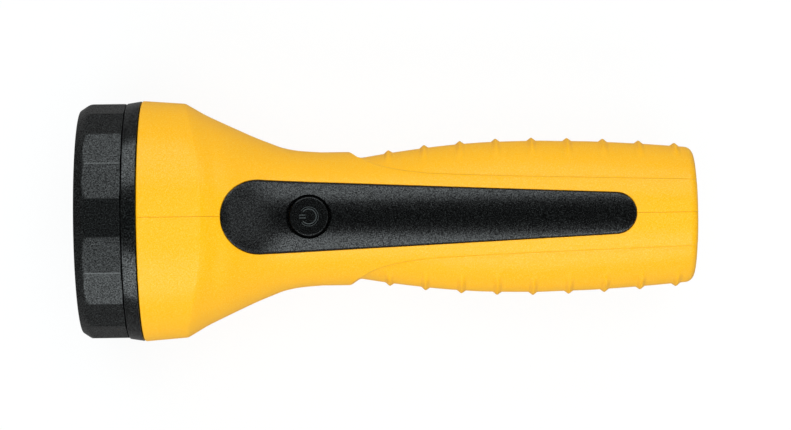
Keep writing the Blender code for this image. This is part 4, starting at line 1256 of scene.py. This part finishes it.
@dataclass
class Studio:
    """Pale floor, dark ceiling card, softboxes and the camera at the photograph's angle."""

    floor_height: float = -38.45 * MM
    floor_size: float = 6.0
    floor_glow: float = 0.88
    focal_pixels: float = 3500.0
    photo_width: int = 791
    photo_height: int = 430
    scale: float = 0.32 * MM
    tilt: float = math.radians(1.9)
    roll: float = math.radians(0.724)
    origin_pixel: tuple[float, float] = (387.7, 218.1)
    softbox_angle: float = math.radians(57)
    softbox_distance: float = 0.9
    softbox_size: tuple[float, float] = (1.5, 0.76)
    softbox_powers: tuple[float, float] = (6.6, 8.1)
    softbox_shifts: tuple[float, float] = (0.0, -0.16)
    softbox_color: str = "#F4FDFF"
    tail_light_power: float = 0.8
    overhead_power: float = 5.6
    world_level: float = 0.1
    mirrored_floor: float = 0.2
    glow_reach: tuple[float, float] = (0.3, 0.7)
    card_height: float = 1.3
    card_half_size: tuple[float, float] = (0.9, 0.42)
    tail_light_size: tuple[float, float] = (0.9, 0.5)
    overhead_size: tuple[float, float] = (0.8, 0.8)
    sensor_width: float = 36.0

    def build(self) -> None:
        """Set up the stage."""
        self.world()
        self.floor()
        self.ceiling()
        self.softboxes()
        self.camera()
        bpy.context.scene.view_settings.view_transform = "Standard"

    def world(self) -> None:
        """White for the eye and through the clear disc; dim as a lamp and in reflections."""
        world = bpy.data.worlds.new("studio room")
        bpy.context.scene.world = world
        world.use_nodes = True
        tree = world.node_tree
        background = tree.nodes["Background"]
        level = add_node(tree, "ShaderNodeMapRange", {"To Min": self.world_level, "To Max": 1.0},
                         {"Value": self.seen(tree, add_node(tree, "ShaderNodeLightPath"))})
        background.inputs["Color"].default_value = WHITE
        tree.links.new(level.outputs["Result"], background.inputs["Strength"])

    @staticmethod
    def seen(tree: NodeTree, rays: Node) -> NodeSocket:
        """1 for rays from the camera, straight or through the clear disc, else 0."""
        return add_node(tree, "ShaderNodeMath", {"operation": "MAXIMUM"},
                        {0: rays.outputs["Is Camera Ray"], 1: rays.outputs["Is Transmission Ray"]}).outputs[0]

    @staticmethod
    def sheet(name: str, half_length: float, half_width: float, height: float, material: Material) -> Object:
        """Level rectangle that faces up."""
        mesh_data = bmesh.new()
        mesh_data.faces.new([mesh_data.verts.new((x * half_length, y * half_width, height))
                             for x, y in ((-1, -1), (1, -1), (1, 1), (-1, 1))])
        piece = to_object(name, mesh_data, material)
        if piece.data.polygons[0].normal.z < 0:
            piece.data.flip_normals()
        return piece

    def floor(self) -> None:
        """Pale floor that shows almost white and still takes the lamp's shadow; dim in reflections."""
        material = bpy.data.materials.new("paper sweep, matt")
        material.use_nodes = True
        tree = material.node_tree
        tree.nodes.clear()
        rays = add_node(tree, "ShaderNodeLightPath")
        matt = add_node(tree, "ShaderNodeBsdfDiffuse", {"Color": linear("#F8F8F8")})
        white = add_node(tree, "ShaderNodeEmission", {"Color": WHITE, "Strength": 1.0})
        place = add_node(tree, "ShaderNodeTexCoord").outputs["Object"]
        away = add_node(tree, "ShaderNodeVectorMath", {"operation": "LENGTH"}, {0: place})
        near, far = self.glow_reach
        level = add_node(tree, "ShaderNodeMapRange", {"From Min": near, "From Max": far,
                                                      "To Min": self.floor_glow, "To Max": 1.0},
                         {"Value": away.outputs["Value"]})
        share = add_node(tree, "ShaderNodeMath", {"operation": "MULTIPLY"},
                         {0: self.seen(tree, rays), 1: level.outputs["Result"]})
        mixed = add_node(tree, "ShaderNodeMixShader", None, {0: share.outputs[0], 1: matt.outputs[0],
                                                             2: white.outputs[0]})
        dim = add_node(tree, "ShaderNodeEmission", {"Color": WHITE, "Strength": self.mirrored_floor})
        shown = add_node(tree, "ShaderNodeMixShader", None, {0: rays.outputs["Is Glossy Ray"],
                                                             1: mixed.outputs[0], 2: dim.outputs[0]})
        add_node(tree, "ShaderNodeOutputMaterial", None, {"Surface": shown.outputs[0]})
        half = self.floor_size / 2
        floor = self.sheet("floor", half, half, self.floor_height, material)

    def ceiling(self) -> None:
        """Dark card above the camera, seen only in reflections."""
        material = Recipe("black card, matt").finish({
            "Base Color": linear("#050505"), "Roughness": 1.0, "Specular IOR Level": 0.0})
        card = self.sheet("ceiling_card", *self.card_half_size, self.card_height, material)
        card.visible_camera = False
        card.visible_shadow = False

    def area_light(self, name: str, size: tuple[float, float], power: float, direction: Point) -> Object:
        """Rectangular softbox that looks at the lamp from a direction.

        Args:
            name: Light name.
            size: Width and height.
            power: Power in watts.
            direction: Unit vector from the lamp to the light.

        Returns:
            The light's object.
        """
        light = bpy.data.lights.new(name, "AREA")
        light.shape = "RECTANGLE"
        light.size, light.size_y = size
        light.energy = power
        light.color = linear(self.softbox_color)[:3]
        lamp = bpy.data.objects.new(name, light)
        way = Vector(direction)
        side = Vector((1, 0, 0)) if abs(way.x) < 0.5 else Vector((0, 1, 0))
        turn = Matrix((side, way.cross(side).normalized(), way)).transposed().to_4x4()
        lamp.matrix_world = Matrix.Translation(way * self.softbox_distance) @ turn
        bpy.context.scene.collection.objects.link(lamp)
        return lamp

    def softboxes(self) -> None:
        """Long softbox on each side, a weaker one past the tail and a diffuse one overhead."""
        slant, rise = math.sin(self.softbox_angle), math.cos(self.softbox_angle)
        for name, side, power, shift in zip(("softbox_left", "softbox_right"), (1, -1), self.softbox_powers,
                                            self.softbox_shifts):
            self.area_light(name, self.softbox_size, power, (0, side * slant, rise)).location.x += shift
        self.area_light("softbox_tail", self.tail_light_size, self.tail_light_power, (slant, 0, rise))
        overhead = self.area_light("overhead_diffuser", self.overhead_size, self.overhead_power, (0, 0, 1))
        overhead.visible_glossy = False
        overhead.visible_transmission = False

    def camera(self) -> None:
        """Camera nearly straight above, at the photograph's framing."""
        back = Vector((0, -math.sin(self.tilt), math.cos(self.tilt)))
        right, up = Vector((1, 0, 0)), Vector((0, math.cos(self.tilt), math.sin(self.tilt)))
        x_axis = right * math.cos(self.roll) - up * math.sin(self.roll)
        y_axis = up * math.cos(self.roll) + right * math.sin(self.roll)
        shift_x = (self.photo_width / 2 - self.origin_pixel[0]) * self.scale
        shift_y = (self.origin_pixel[1] - self.photo_height / 2) * self.scale
        target = x_axis * shift_x + y_axis * shift_y
        data = bpy.data.cameras.new("camera")
        data.sensor_width = self.sensor_width
        data.lens = self.focal_pixels / self.photo_width * data.sensor_width
        data.clip_start = 0.01
        camera = bpy.data.objects.new("camera", data)
        place = target + back * self.focal_pixels * self.scale
        camera.matrix_world = Matrix.Translation(place) @ Matrix((x_axis, y_axis, back)).transposed().to_4x4()
        bpy.context.scene.collection.objects.link(camera)
        bpy.context.scene.camera = camera


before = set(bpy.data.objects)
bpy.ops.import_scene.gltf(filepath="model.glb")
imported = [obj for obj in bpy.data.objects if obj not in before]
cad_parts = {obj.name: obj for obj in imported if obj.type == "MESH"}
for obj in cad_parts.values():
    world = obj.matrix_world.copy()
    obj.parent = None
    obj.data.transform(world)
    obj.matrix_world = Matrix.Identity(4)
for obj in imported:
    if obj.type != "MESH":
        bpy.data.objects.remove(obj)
NODES: dict[str, Object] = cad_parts


def main() -> None:
    """Build the looks of the lamp, piece by piece."""
    logging.basicConfig(level=logging.INFO, format="%(message)s")
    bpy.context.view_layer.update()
    wardrobe = Wardrobe()
    form = HousingForm()
    panel = PanelForm(form)
    housing = Housing(form, panel)
    for side in Side:
        log.info("built %s", housing.build(side, wardrobe).name)
    log.info("built %s", SwitchPanel(panel).build(wardrobe).name)
    for piece in PowerButton().build(wardrobe):
        log.info("built %s", piece.name)
    log.info("built %s", HeadRing().build(wardrobe).name)
    log.info("built %s", Collar().build(wardrobe).name)
    for piece in LightHead().build(wardrobe):
        log.info("built %s", piece.name)
    for name in CarriedPieces().build(wardrobe):
        log.info("dressed %s", name)
    Studio().build()


if __name__ == "__main__":
    main()
